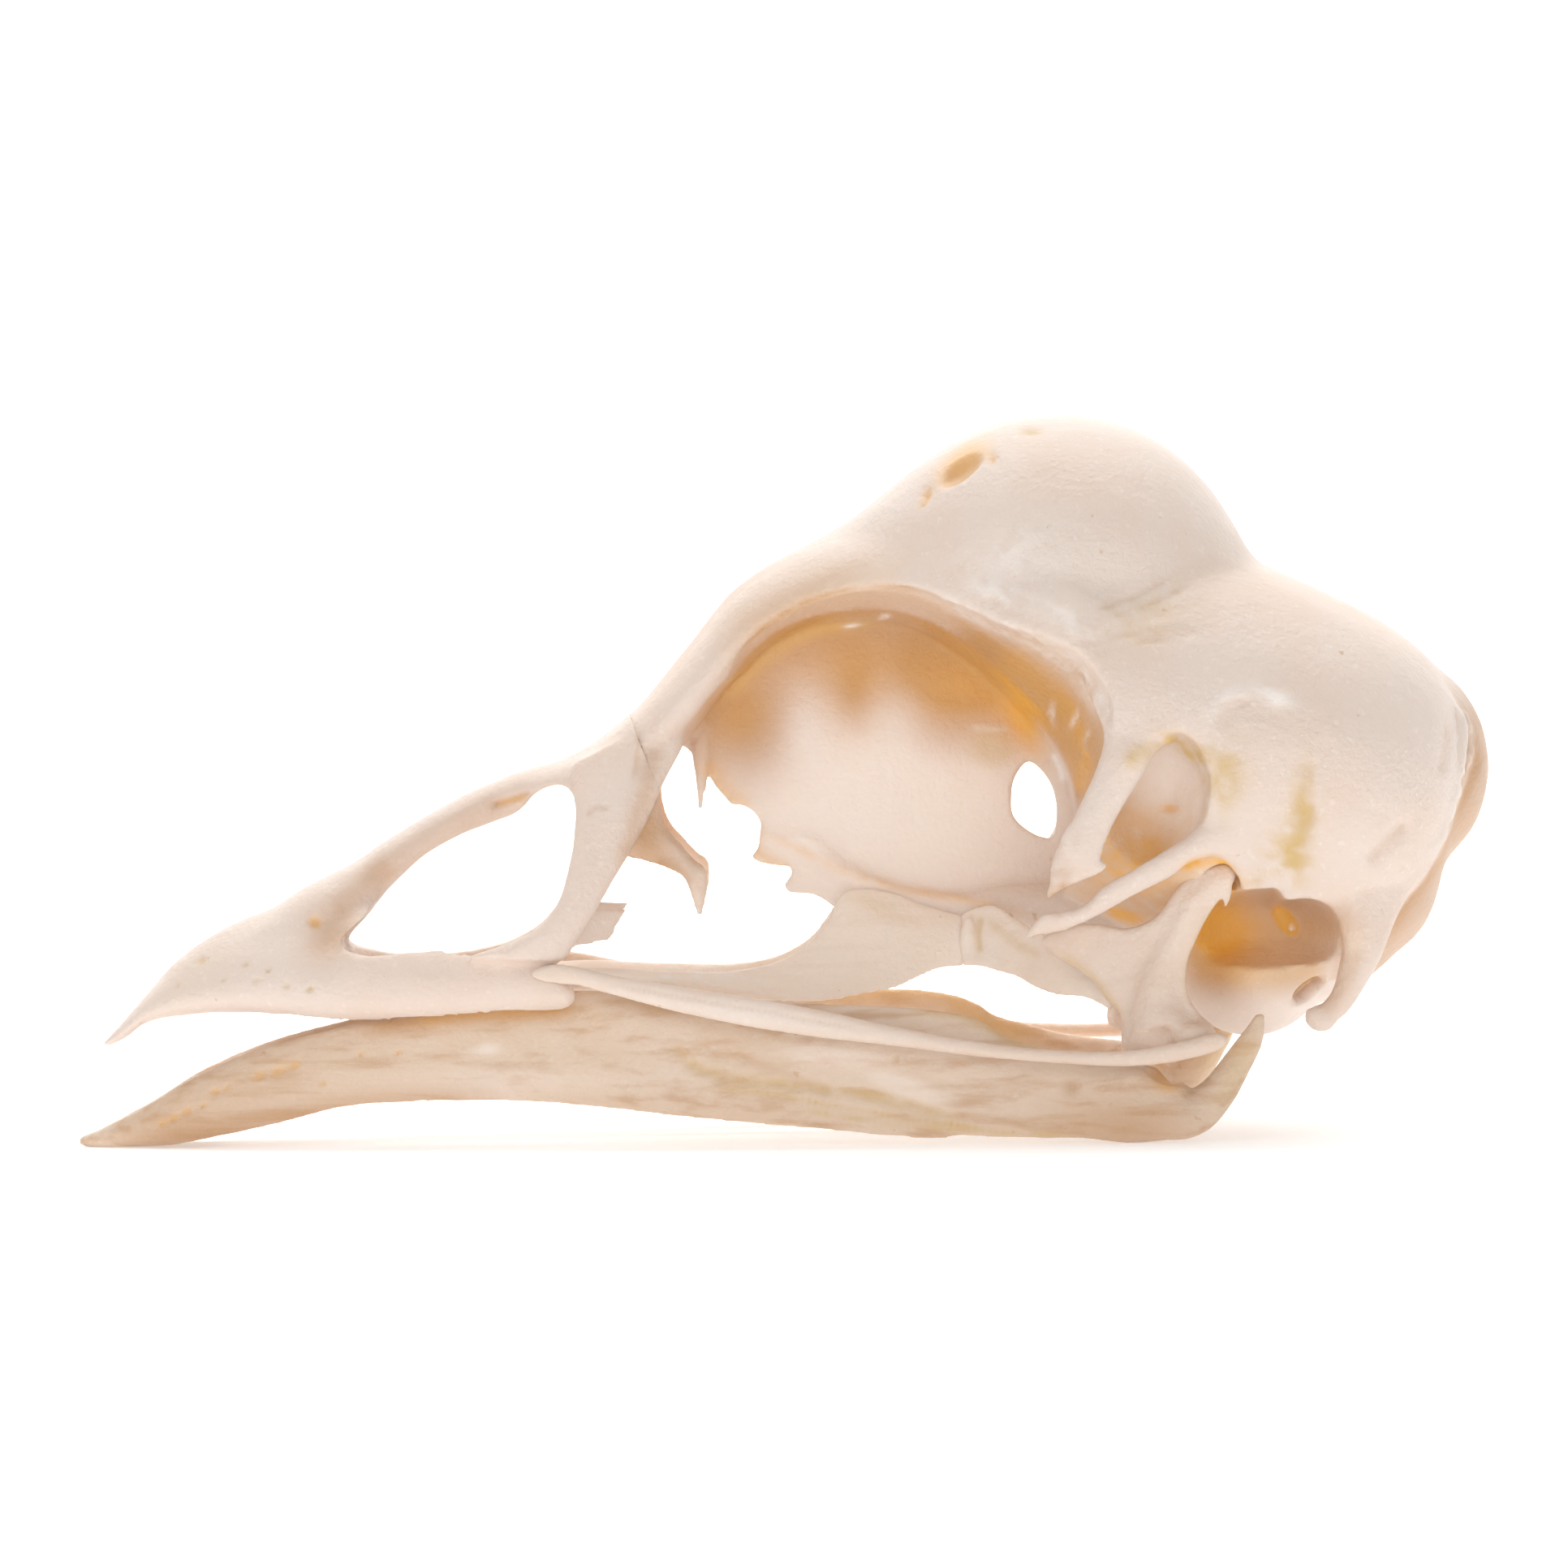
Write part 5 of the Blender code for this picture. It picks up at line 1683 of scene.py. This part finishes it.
@dataclass
class LowerJaw(Bone):
    """The lower jaw, one bone from tip to tip."""

    def shape(self) -> bpy.types.Object:
        """Two sides joined at the tip, with hooks and inner spines, flat where it stands.

        Returns:
            The bone's object, not yet dressed.
        """
        paired = (self.ramus, self.hook, self.inner_spine, self.cup_lip)
        jaw = Workshop.union("jaw", [self.symphysis()] + [form(side) for side in Side for form in paired])
        ground = slab(np.array([(-60, -9), (60, -9), (60, 0), (-60, 0)], float), -OUT, OUT)
        return Workshop.combine(jaw, [ground] + [self.cup(side) for side in Side], "DIFFERENCE")

    @staticmethod
    def ramus(side: Side) -> Grid:
        """One side of the jaw."""
        return bar(side, [
            (-37.75, 0.1, 0.28, 0.27, 0.3), (-36.4, 0.75, 0.52, 0.52, 0.6), (-33.2, 2.1, 1.35, 1.25, 0.8),
            (-30.5, 2.7, 2.33, 1.77, 0.85), (-27.5, 3.1, 3.25, 2.07, 0.85), (-24.0, 3.55, 4.13, 2.09, 0.8),
            (-19.5, 4.1, 4.7, 2.38, 0.8), (-15.0, 4.8, 4.97, 2.65, 0.8), (-10.5, 5.75, 5.05, 3.0, 0.85),
            (-4.5, 7.4, 4.65, 3.27, 0.85), (1.5, 8.8, 4.1, 3.3, 0.85), (6.0, 9.6, 3.77, 3.4, 0.85),
            (8.8, 10.1, 3.5, 3.2, 0.85), (10.4, 10.35, 3.05, 2.75, 0.85), (12.5, 10.7, 2.7, 2.45, 0.9),
            (15.5, 11.1, 2.3, 2.05, 1.05), (18.2, 11.4, 1.95, 2.0, 1.35), (20.4, 11.5, 1.6, 1.45, 1.3)],
            130, 36)

    @staticmethod
    def symphysis() -> Grid:
        """The floor that joins the two sides behind the tip."""
        return upright([
            (-37.2, 0.5, 0.3, 0.05, 0.4), (-35.2, 1.2, 0.7, 0.1, 1.6), (-32.6, 2.0, 1.25, 0.5, 2.3),
            (-30.6, 2.5, 1.9, 1.2, 2.6)], 24, 32)

    @staticmethod
    def hook(side: Side) -> Grid:
        """The hook that rises behind the jaw joint."""
        return bar(side, [
            (18.6, 11.5, 1.75, 1.6, 1.3), (20.7, 11.6, 1.45, 1.25, 1.15), (22.0, 11.6, 2.3, 1.0, 0.95),
            (23.05, 11.5, 3.7, 0.82, 0.75), (24.0, 11.4, 5.2, 0.62, 0.5), (24.6, 11.3, 6.6, 0.24, 0.2)],
            48, 28)

    @staticmethod
    def inner_spine(side: Side) -> Grid:
        """The spine that points inward from the jaw joint."""
        return bar(side, [
            (18.9, 11.0, 2.5, 1.5, 1.3), (18.7, 9.0, 2.8, 1.1, 0.9), (18.4, 7.5, 3.3, 0.7, 0.6),
            (18.2, 6.4, 4.0, 0.25, 0.25)], 24, 24, (1.0, 0.0, 0.0))

    @staticmethod
    def cup_lip(side: Side) -> Grid:
        """The raised lip in front of the cup of the jaw joint."""
        return ball((17.9, side.value * 11.3, 3.1), (1.3, 1.25, 0.9), 15, 20, 24)

    @staticmethod
    def cup(side: Side) -> Grid:
        """The cup in which the quadrate turns."""
        return ball((19.7, side.value * 11.4, 4.1), (1.35, 2.2, 1.15), 10, 20, 24)

    def marks(self) -> list[Mark]:
        """Pits of the tip, overlapping sheets of the side and their yellow seams, and painted shadows under
        the jugal and the upper bill.

        Returns:
            The jaw's marks.
        """
        pits = ((-33.2, 1.35, 0.3), (-32.6, 1.6, 0.25), (-31.9, 1.95, 0.28), (-31.0, 2.3, 0.2),
                (-30.4, 3.0, 0.28), (-29.7, 3.2, 0.2), (-28.0, 3.8, 0.3), (-26.9, 4.1, 0.42),
                (-26.1, 4.35, 0.3), (-22.6, 4.9, 0.2), (-20.6, 5.0, 0.22), (-24.6, 3.4, 0.16))
        marks = within((0.5, OUT), [Spot(AMBER, 0.45, (x, z), (r, r * 0.6), 22, height=-0.16, rough=0.3)
                                    for x, z, r in pits])
        far_edge = [(-4.0, 7.4), (3.0, 7.2), (8.8, 6.9), (9.6, 6.0), (11.5, 4.9), (14.0, 4.2)]
        return marks + within((2.0, OUT), [
            # painted shadow under the jugal
            Spot(TAN, 0.7, (-7.2, 7.4), (1.9, 0.5), -12),
            Spot(WHITE, 0.5, (-15.9, 5.1), (0.8, 0.3), 5),
            Spot(PALE, 0.35, (-13.0, 3.4), (9.0, 0.8)),
            Spot(None, 0, (-13.0, 4.6), (9.0, 1.2), height=-0.08),
        ]) + within((5.0, OUT), [
            Line(YELLOW, 0.5, [(-6.0, 5.3), (-5.0, 4.2), (-3.2, 3.6), (0.0, 3.2), (4.0, 2.6), (9.0, 1.3)],
                 0.3, height=-0.14, rough=0.4),
            Line(YELLOW, 0.6, [(-4.0, 3.1), (-0.5, 2.6), (5.4, 1.5), (10.6, 0.8)], 0.16, height=-0.06,
                 rough=0.4),
            Line(TAN, 0.25, [(-3.0, 4.8), (-0.8, 4.1), (0.6, 3.4), (2.4, 2.6)], 0.3, height=-0.1),
            Line(YELLOW, 0.45, [(0.0, 1.9), (5.0, 1.2), (11.0, 0.6), (15.0, 0.4)], 0.2, rough=0.5),
            Spot(PALE, 0.5, (2.4, 4.7), (2.9, 0.55), -4, height=0.06, flat=4.0),
            Spot(PALE, 0.55, (6.2, 3.0), (2.6, 0.6), -22, height=0.08, flat=4.0),
            Spot(TAN, 0.7, (5.6, 4.5), (0.12, 0.12), height=-0.1),
        ]) + within((8.0, OUT), [
            Spot(TAN, 0.35, (14.6, 3.0), (0.45, 0.5), height=-0.22),
            Spot(AMBER, 0.45, (19.5, 3.2), (0.9, 0.5), -20, rough=0.4),
            Spot(TAN, 0.55, (17.5, 1.0), (3.6, 1.4)),
            Spot(YELLOW, 0.4, (23.2, 4.0), (1.0, 2.4), -20),
        ]) + [
            Line(TAN, 0.5, far_edge, 0.9, only=Side.RIGHT),
            Line(YELLOW, 0.5, far_edge, 0.9, only=Side.RIGHT),
            Spot(TAN, 0.3, (-31.0, 2.4), (6.5, 2.4), 20),
            Line(YELLOW, 0.5, [(6.4, 6.9), (9.0, 6.7), (10.6, 5.9), (12.6, 4.9), (15.0, 4.4)], 0.22,
                 depth=(5.0, OUT), only=Side.LEFT),
            Line(TAN, 0.45, [(-36.0, 0.4), (-31.0, 0.7), (-27.0, 1.3), (-22.0, 2.2), (-15.0, 2.5)], 0.8),
            # painted shadow under the upper bill, tan with amber
            Line(TAN, 0.8, [(-23.0, 6.1), (-18.0, 6.9), (-14.5, 7.2), (-11.0, 7.2)], 0.6),
            Line(AMBER, 0.3, [(-20.0, 6.7), (-16.0, 7.0), (-11.0, 7.2)], 0.5),
        ]


@dataclass
class PairedBone(Bone):
    """A small bone that each side of the head has one of.

    Attributes:
        bone_finish: the finish of all bones of the class.
        side: the side of the head.
    """

    bone_finish: ClassVar[BoneFinish] = FACE_BONE
    side: Side = Side.LEFT

    @classmethod
    def for_side(cls, side: Side) -> PairedBone:
        """The bone of one side, named after its class and the side."""
        node = f"{cls.__name__.lower()}_{side.word}"
        return cls(node + "_bone", (node,), "face_bones", cls.bone_finish, voxel=0.13, polish=6,
                   unevenness=0.02, shade=0.6, side=side)

    def forms(self) -> list[Grid]:
        """The surfaces that make the bone up."""
        raise NotImplementedError

    def shape(self) -> bpy.types.Object:
        """The bone's forms joined."""
        return Workshop.union(self.name, self.forms())


class Lacrimal(PairedBone):
    """The plate that hangs behind the strut and ends in a hooked spine."""

    def forms(self) -> list[Grid]:
        """A bent plate and the rounded ridge along it.

        Returns:
            The two closed surfaces.
        """
        plate_form = blade(self.side, [
            (-7.9, 5.0, 20.2, -6.2, 5.1, 20.6, 0.35), (-8.2, 5.3, 19.0, -6.45, 5.0, 19.3, 0.4),
            (-8.6, 5.65, 17.6, -6.55, 5.1, 18.0, 0.42), (-9.0, 5.95, 15.5, -6.15, 5.4, 16.6, 0.42),
            (-7.4, 5.8, 14.9, -5.4, 5.7, 15.7, 0.33), (-6.2, 6.2, 14.5, -4.75, 6.1, 14.95, 0.32),
            (-5.35, 6.6, 14.0, -4.15, 6.5, 14.4, 0.3), (-5.05, 6.7, 13.3, -4.1, 6.7, 13.5, 0.27),
            (-4.7, 6.8, 12.05, -4.4, 6.8, 12.0, 0.12)], 60, 28)
        ridge = bar(self.side, [
            (-7.4, 5.3, 17.4, 0.25, 0.25), (-6.8, 5.6, 16.4, 0.34, 0.28), (-5.9, 6.0, 15.4, 0.4, 0.28),
            (-5.1, 6.5, 14.4, 0.38, 0.3), (-4.7, 6.75, 13.4, 0.32, 0.28),
            (-4.55, 6.8, 12.05, 0.1, 0.1)], 50, 18)
        return [plate_form, ridge]

    def marks(self) -> list[Mark]:
        """Shaded, thin bone above the ridge."""
        return [
            Spot(TAN, 0.9, (-7.5, 16.5), (1.5, 3.0), 15),
            Line(TAN, 0.6, [(-6.2, 18.6), (-5.9, 17.2), (-5.2, 15.9), (-4.2, 14.5)], 0.3),
            Line(TAN, 0.4, [(-6.9, 14.8), (-5.6, 14.4), (-4.9, 13.6)], 0.3),
        ]


class Jugal(PairedBone):
    """The cheek bar from the bill to the quadrate."""

    def forms(self) -> list[Grid]:
        """An oval tab on the bill, then a bar that thins and swells again."""
        return [bar(self.side, [
            (-13.4, 7.55, 9.15, 0.2, 0.14), (-12.9, 7.6, 9.15, 0.42, 0.22), (-12.0, 7.65, 9.12, 0.54, 0.27),
            (-10.9, 7.8, 8.98, 0.5, 0.32), (-9.0, 8.3, 8.5, 0.52, 0.42), (-5.0, 9.25, 7.62, 0.7, 0.46),
            (0.5, 10.4, 6.62, 0.75, 0.48), (5.8, 11.4, 5.7, 0.51, 0.46), (9.6, 12.0, 5.08, 0.41, 0.42),
            (13.2, 12.6, 4.68, 0.37, 0.38), (17.6, 13.3, 4.5, 0.42, 0.4), (20.4, 13.4, 4.85, 0.5, 0.45),
            (22.3, 13.2, 5.35, 0.42, 0.4), (22.7, 13.1, 5.5, 0.15, 0.15)], 150, 24)]

    def marks(self) -> list[Mark]:
        """The groove between its two rods."""
        return within((5.0, OUT), [
            Line(TAN, 0.25, [(-9.5, 8.6), (-5.0, 7.8), (0.0, 6.9), (4.0, 6.1)], 0.12, height=-0.08),
            Spot(WHITE, 0.35, (-2.0, 7.0), (9.0, 0.7), -9),
        ])


class Palatine(PairedBone):
    """The palate bone: a rod that widens into a blade beside the keel."""

    bone_finish: ClassVar[BoneFinish] = LIGHTENED_PALATE_BONE

    def forms(self) -> list[Grid]:
        """One blade, low in front and high behind."""
        return [blade(self.side, [
            (-24.6, 1.7, 9.5, -24.6, 2.4, 8.6, 0.6), (-22.4, 2.0, 9.0, -22.4, 2.8, 8.1, 0.65),
            (-18.6, 2.6, 8.7, -18.6, 3.4, 7.8, 0.7), (-14.0, 3.3, 9.0, -14.0, 4.0, 8.1, 0.75),
            (-10.6, 3.9, 9.2, -10.5, 4.4, 8.1, 0.7), (-6.0, 4.1, 8.95, -6.0, 4.6, 7.9, 0.65),
            (-2.6, 3.9, 8.95, -2.4, 4.7, 7.5, 0.5), (-0.4, 3.3, 9.4, 0.0, 4.7, 7.3, 0.42),
            (1.2, 2.5, 10.35, 2.2, 4.6, 7.3, 0.38), (2.2, 1.8, 11.6, 4.0, 4.4, 7.6, 0.36),
            (3.2, 1.2, 13.0, 5.6, 4.1, 7.85, 0.36), (5.4, 1.1, 12.9, 6.9, 3.7, 8.4, 0.4),
            (7.4, 1.3, 12.1, 8.0, 3.2, 8.85, 0.48), (9.35, 1.6, 11.5, 9.35, 2.8, 8.95, 0.55)], 100, 28)]

    def marks(self) -> list[Mark]:
        """Glassy glints on its upper edge."""
        return [
            Spot(WHITE, 0.9, (-5.2, 8.75), (2.2, 0.16), rough=0.9),
            Spot(YELLOW, 0.25, (4.8, 12.2), (1.8, 0.5), -25),
        ]


class Pterygoid(PairedBone):
    """The rod from the palatine out to the quadrate, broad where they meet."""

    bone_finish: ClassVar[BoneFinish] = LIGHTENED_PALATE_BONE

    def forms(self) -> list[Grid]:
        """A broad head with a knuckle, and a tapering rod.

        Returns:
            The closed surfaces.
        """
        rod = blade(self.side, [
            (9.25, 1.5, 11.6, 9.25, 2.9, 8.95, 0.5), (10.1, 1.9, 12.0, 10.0, 3.5, 8.95, 0.5),
            (11.1, 2.8, 12.1, 11.1, 4.4, 8.7, 0.5), (12.2, 4.0, 11.4, 12.1, 5.2, 8.4, 0.5),
            (13.3, 5.2, 10.8, 13.1, 6.2, 7.85, 0.5), (14.6, 6.6, 10.2, 14.2, 7.2, 7.5, 0.5),
            (15.8, 7.8, 9.3, 15.6, 8.2, 7.4, 0.5), (17.4, 9.0, 8.4, 16.8, 9.2, 6.8, 0.5)], 50, 28)
        knuckle = ball((9.55, self.side.value * 2.7, 10.3), (0.45, 0.6, 1.25), 6, 16, 20)
        return [rod, knuckle]

    def marks(self) -> list[Mark]:
        """A yellow seam beside the knuckle and a fold across the head."""
        return within((0.0, OUT), [
            Line(YELLOW, 0.5, [(10.3, 11.6), (10.1, 10.6), (10.2, 9.6)], 0.2, height=-0.08),
            Line(YELLOW, 0.3, [(10.6, 11.4), (12.0, 10.2), (13.4, 9.4)], 0.3, height=0.08),
        ])


class Quadrate(PairedBone):
    """The bone that carries the jaw joint.

    Attributes:
        soft_voxel: mesh size of its melted form in millimetres.
        soft_rounds: rounds of smoothing that melt it.
    """

    soft_voxel: ClassVar[float] = 0.18
    soft_rounds: ClassVar[int] = 12

    def shape(self) -> bpy.types.Object:
        """The plate melted with the thicker stem, the joint's knobs and the splinter at its head.

        Returns:
            The bone's object, not yet dressed.
        """
        side = self.side
        outline = smooth_loop([
            (13.2, 10.6), (14.3, 11.1), (15.5, 11.4), (16.8, 11.3), (17.6, 11.15), (18.6, 11.4),
            (19.4, 11.9), (20.2, 13.0), (20.9, 13.7), (21.8, 14.3), (23.0, 14.45), (23.4, 14.0),
            (23.2, 13.3), (22.4, 12.4), (21.8, 11.5), (21.3, 10.5), (20.85, 9.4), (20.7, 8.4),
            (20.9, 7.4), (21.4, 6.6), (22.1, 6.0), (22.3, 5.3), (21.6, 4.9), (19.6, 4.75), (17.5, 4.8),
            (17.3, 5.3), (17.4, 6.1), (17.2, 6.8), (16.5, 7.4), (16.0, 8.2), (15.2, 8.9), (14.1, 9.6)], 160)
        wing = plate(side, outline, out=10.9, half=0.42, lean=0.22, pivot=20.0)
        stem = bar(side, [
            (22.7, 11.3, 13.7, 0.7, 0.8), (21.4, 11.15, 12.5, 0.75, 0.8), (20.4, 11.0, 10.8, 0.75, 0.75),
            (19.5, 10.9, 9.0, 0.95, 0.8), (19.2, 10.9, 7.2, 1.3, 1.05), (19.4, 11.0, 5.9, 1.7, 1.5)], 50, 28)
        inner = ball((18.9, side.value * 9.9, 5.4), (1.5, 2.1, 0.95))
        outer = ball((21.0, side.value * 12.0, 5.5), (1.15, 1.0, 0.75))
        bone = Workshop.union(self.name, [wing, stem, inner, outer])
        Workshop.skin(bone, self.soft_voxel, self.soft_rounds)
        splinter = bar(side, [(22.8, 11.5, 13.6, 0.35, 0.2), (22.9, 11.6, 12.8, 0.25, 0.16),
                              (22.75, 11.7, 12.1, 0.08, 0.08)], 14, 14)
        return Workshop.combine(bone, [splinter], "UNION")

    def marks(self) -> list[Mark]:
        """A shallow hollow in the plate, and thin amber edges."""
        return within((5.0, OUT), [
            Line(YELLOW, 0.45, [(17.3, 6.4), (16.5, 7.7), (15.4, 8.9), (14.2, 9.8)], 0.3),
            Line(YELLOW, 0.4, [(22.6, 12.4), (21.6, 10.9), (20.9, 9.2), (20.8, 7.6)], 0.25),
            Spot(PALE, 0.4, (20.4, 12.0), (0.9, 1.8), -35),
        ]) + [
            Spot(None, 0, (18.0, 9.4), (2.2, 1.3), 20, height=-0.12, depth=(8.0, OUT)),
        ]


# Studio


@dataclass
class Studio:
    """Pale sweep, soft lights and the camera at the photograph's place.

    Attributes:
        distance: from the camera to the middle of the picture, in metres.
        rise: of the camera above the horizontal, in degrees.
        roll: of the picture, in degrees.
        aim: height that the camera looks at, in metres.
        lens: focal length in millimetres.
        sensor: width of the camera's picture in millimetres.
        ambient: strength of the light from all sides.
        paper_glow: light that the sweep gives off itself.
    """

    distance: float = 0.47
    rise: float = 1.6
    roll: float = 1.03
    aim: float = 0.01865
    lens: float = 202.8
    sensor: float = 36.0
    ambient: float = 0.25
    paper_glow: float = 0.3

    def build(self) -> None:
        """Make everything round the skull."""
        self.sweep()
        self.world()
        self.lamp("key", (-0.38, -0.56, 0.58), 0.4, 1.0)
        self.lamp("front", (0.05, -0.95, 0.2), 0.7, 2.0)
        self.lamp("fill", (0.60, -0.62, 0.26), 0.6, 0.3)
        self.lamp("top", (0.0, 0.1, 1.1), 1.2, 3.2)
        self.lamp("wall", (0.0, 0.55, 1.3), 1.6, 40.0, (0.0, 1.8, 0.5))
        self.camera()

    def sweep(self) -> None:
        """A pale floor that curves up behind: flat, then a quarter circle, then a wall."""
        turn = np.linspace(0, math.pi / 2, 24)
        radius, back, far = 0.6, 1.2, 3.0
        y = np.concatenate([[-far], back + radius * np.sin(turn), [back + radius]])
        z = np.concatenate([[0.0], radius * (1 - np.cos(turn)), [far]])
        x = np.array([-far, far])
        grid = np.stack(np.broadcast_arrays(x[None, :], y[:, None], z[:, None]), axis=-1)
        index = np.arange(len(y) * 2).reshape(-1, 2)
        faces = np.stack([index[:-1, 0], index[:-1, 1], index[1:, 1], index[1:, 0]], axis=-1)
        mesh = bpy.data.meshes.new("sweep")
        mesh.from_pydata(grid.reshape(-1, 3).tolist(), [], faces.tolist())
        mesh.shade_smooth()
        floor = bpy.data.objects.new("sweep", mesh)
        bpy.context.scene.collection.objects.link(floor)
        paper = bpy.data.materials.new("pale_paper")
        paper.use_nodes = True
        shader = paper.node_tree.nodes["Principled BSDF"]
        shader.inputs["Base Color"].default_value = (0.97, 0.98, 0.99, 1.0)
        shader.inputs["Roughness"].default_value = 0.9
        shader.inputs["Emission Color"].default_value = (1.0, 1.0, 1.0, 1.0)
        shader.inputs["Emission Strength"].default_value = self.paper_glow
        mesh.materials.append(paper)

    def world(self) -> None:
        """Even white light from all sides, and tones shown as they are."""
        bpy.context.scene.view_settings.view_transform = "Standard"
        world = bpy.data.worlds.new("studio")
        bpy.context.scene.world = world
        world.use_nodes = True
        light = world.node_tree.nodes["Background"]
        light.inputs["Color"].default_value = (1.0, 1.0, 1.0, 1.0)
        light.inputs["Strength"].default_value = self.ambient

    @staticmethod
    def lamp(name: str, place: tuple[float, float, float], size: float, power: float,
             aim: tuple[float, float, float] = (0.0, 0.0, 0.018)) -> None:
        """A square soft light, nearly white.

        Args:
            name: its name.
            place: where it hangs, in metres.
            size: its side in metres.
            power: its power in watts.
            aim: the place it faces.
        """
        light = bpy.data.lights.new(name, "AREA")
        light.size = size
        light.energy = power
        light.color = (1.0, 0.98, 0.95)
        lamp = bpy.data.objects.new(name, light)
        bpy.context.scene.collection.objects.link(lamp)
        ahead = Vector(aim) - Vector(place)
        lamp.matrix_world = Matrix.Translation(place) @ ahead.to_track_quat("-Z", "Y").to_matrix().to_4x4()

    def camera(self) -> None:
        """The camera at the photograph's viewing angle."""
        rise = math.radians(self.rise)
        look = Vector((0.0, math.cos(rise), -math.sin(rise)))
        eye = Vector((0.0, 0.0, self.aim)) - look * self.distance
        lens = bpy.data.cameras.new("camera")
        lens.lens = self.lens
        lens.sensor_width = self.sensor
        lens.clip_start = 0.01
        camera = bpy.data.objects.new("camera", lens)
        bpy.context.scene.collection.objects.link(camera)
        camera.matrix_world = (Matrix.Translation(eye) @ look.to_track_quat("-Z", "Y").to_matrix().to_4x4()
                               @ Matrix.Rotation(-math.radians(self.roll), 4, "Z"))
        bpy.context.scene.camera = camera


def main() -> None:
    """Load the frame, build every bone, light it and note the sizes."""
    logging.basicConfig(level=logging.INFO, format="%(relativeCreated)6.0f ms %(name)s: %(message)s")
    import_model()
    bones: list[Bone] = [
        Cranium("cranium_bone", ("cranium",), "cranium", IVORY_BONE, voxel=0.19, polish=5, kept=0.56),
        UpperBill("upper_bill", ("upper_beak",), "upper_beak", IVORY_BONE, voxel=0.16, polish=9),
        LowerJaw("lower_jaw", ("mandible",), "mandible", JAW_BONE, voxel=0.18),
    ]
    for kind in (Lacrimal, Jugal, Palatine, Pterygoid, Quadrate):
        bones += [kind.for_side(side) for side in Side]
    for bone in bones:
        bone.build()
    Studio().build()


if __name__ == "__main__":
    main()
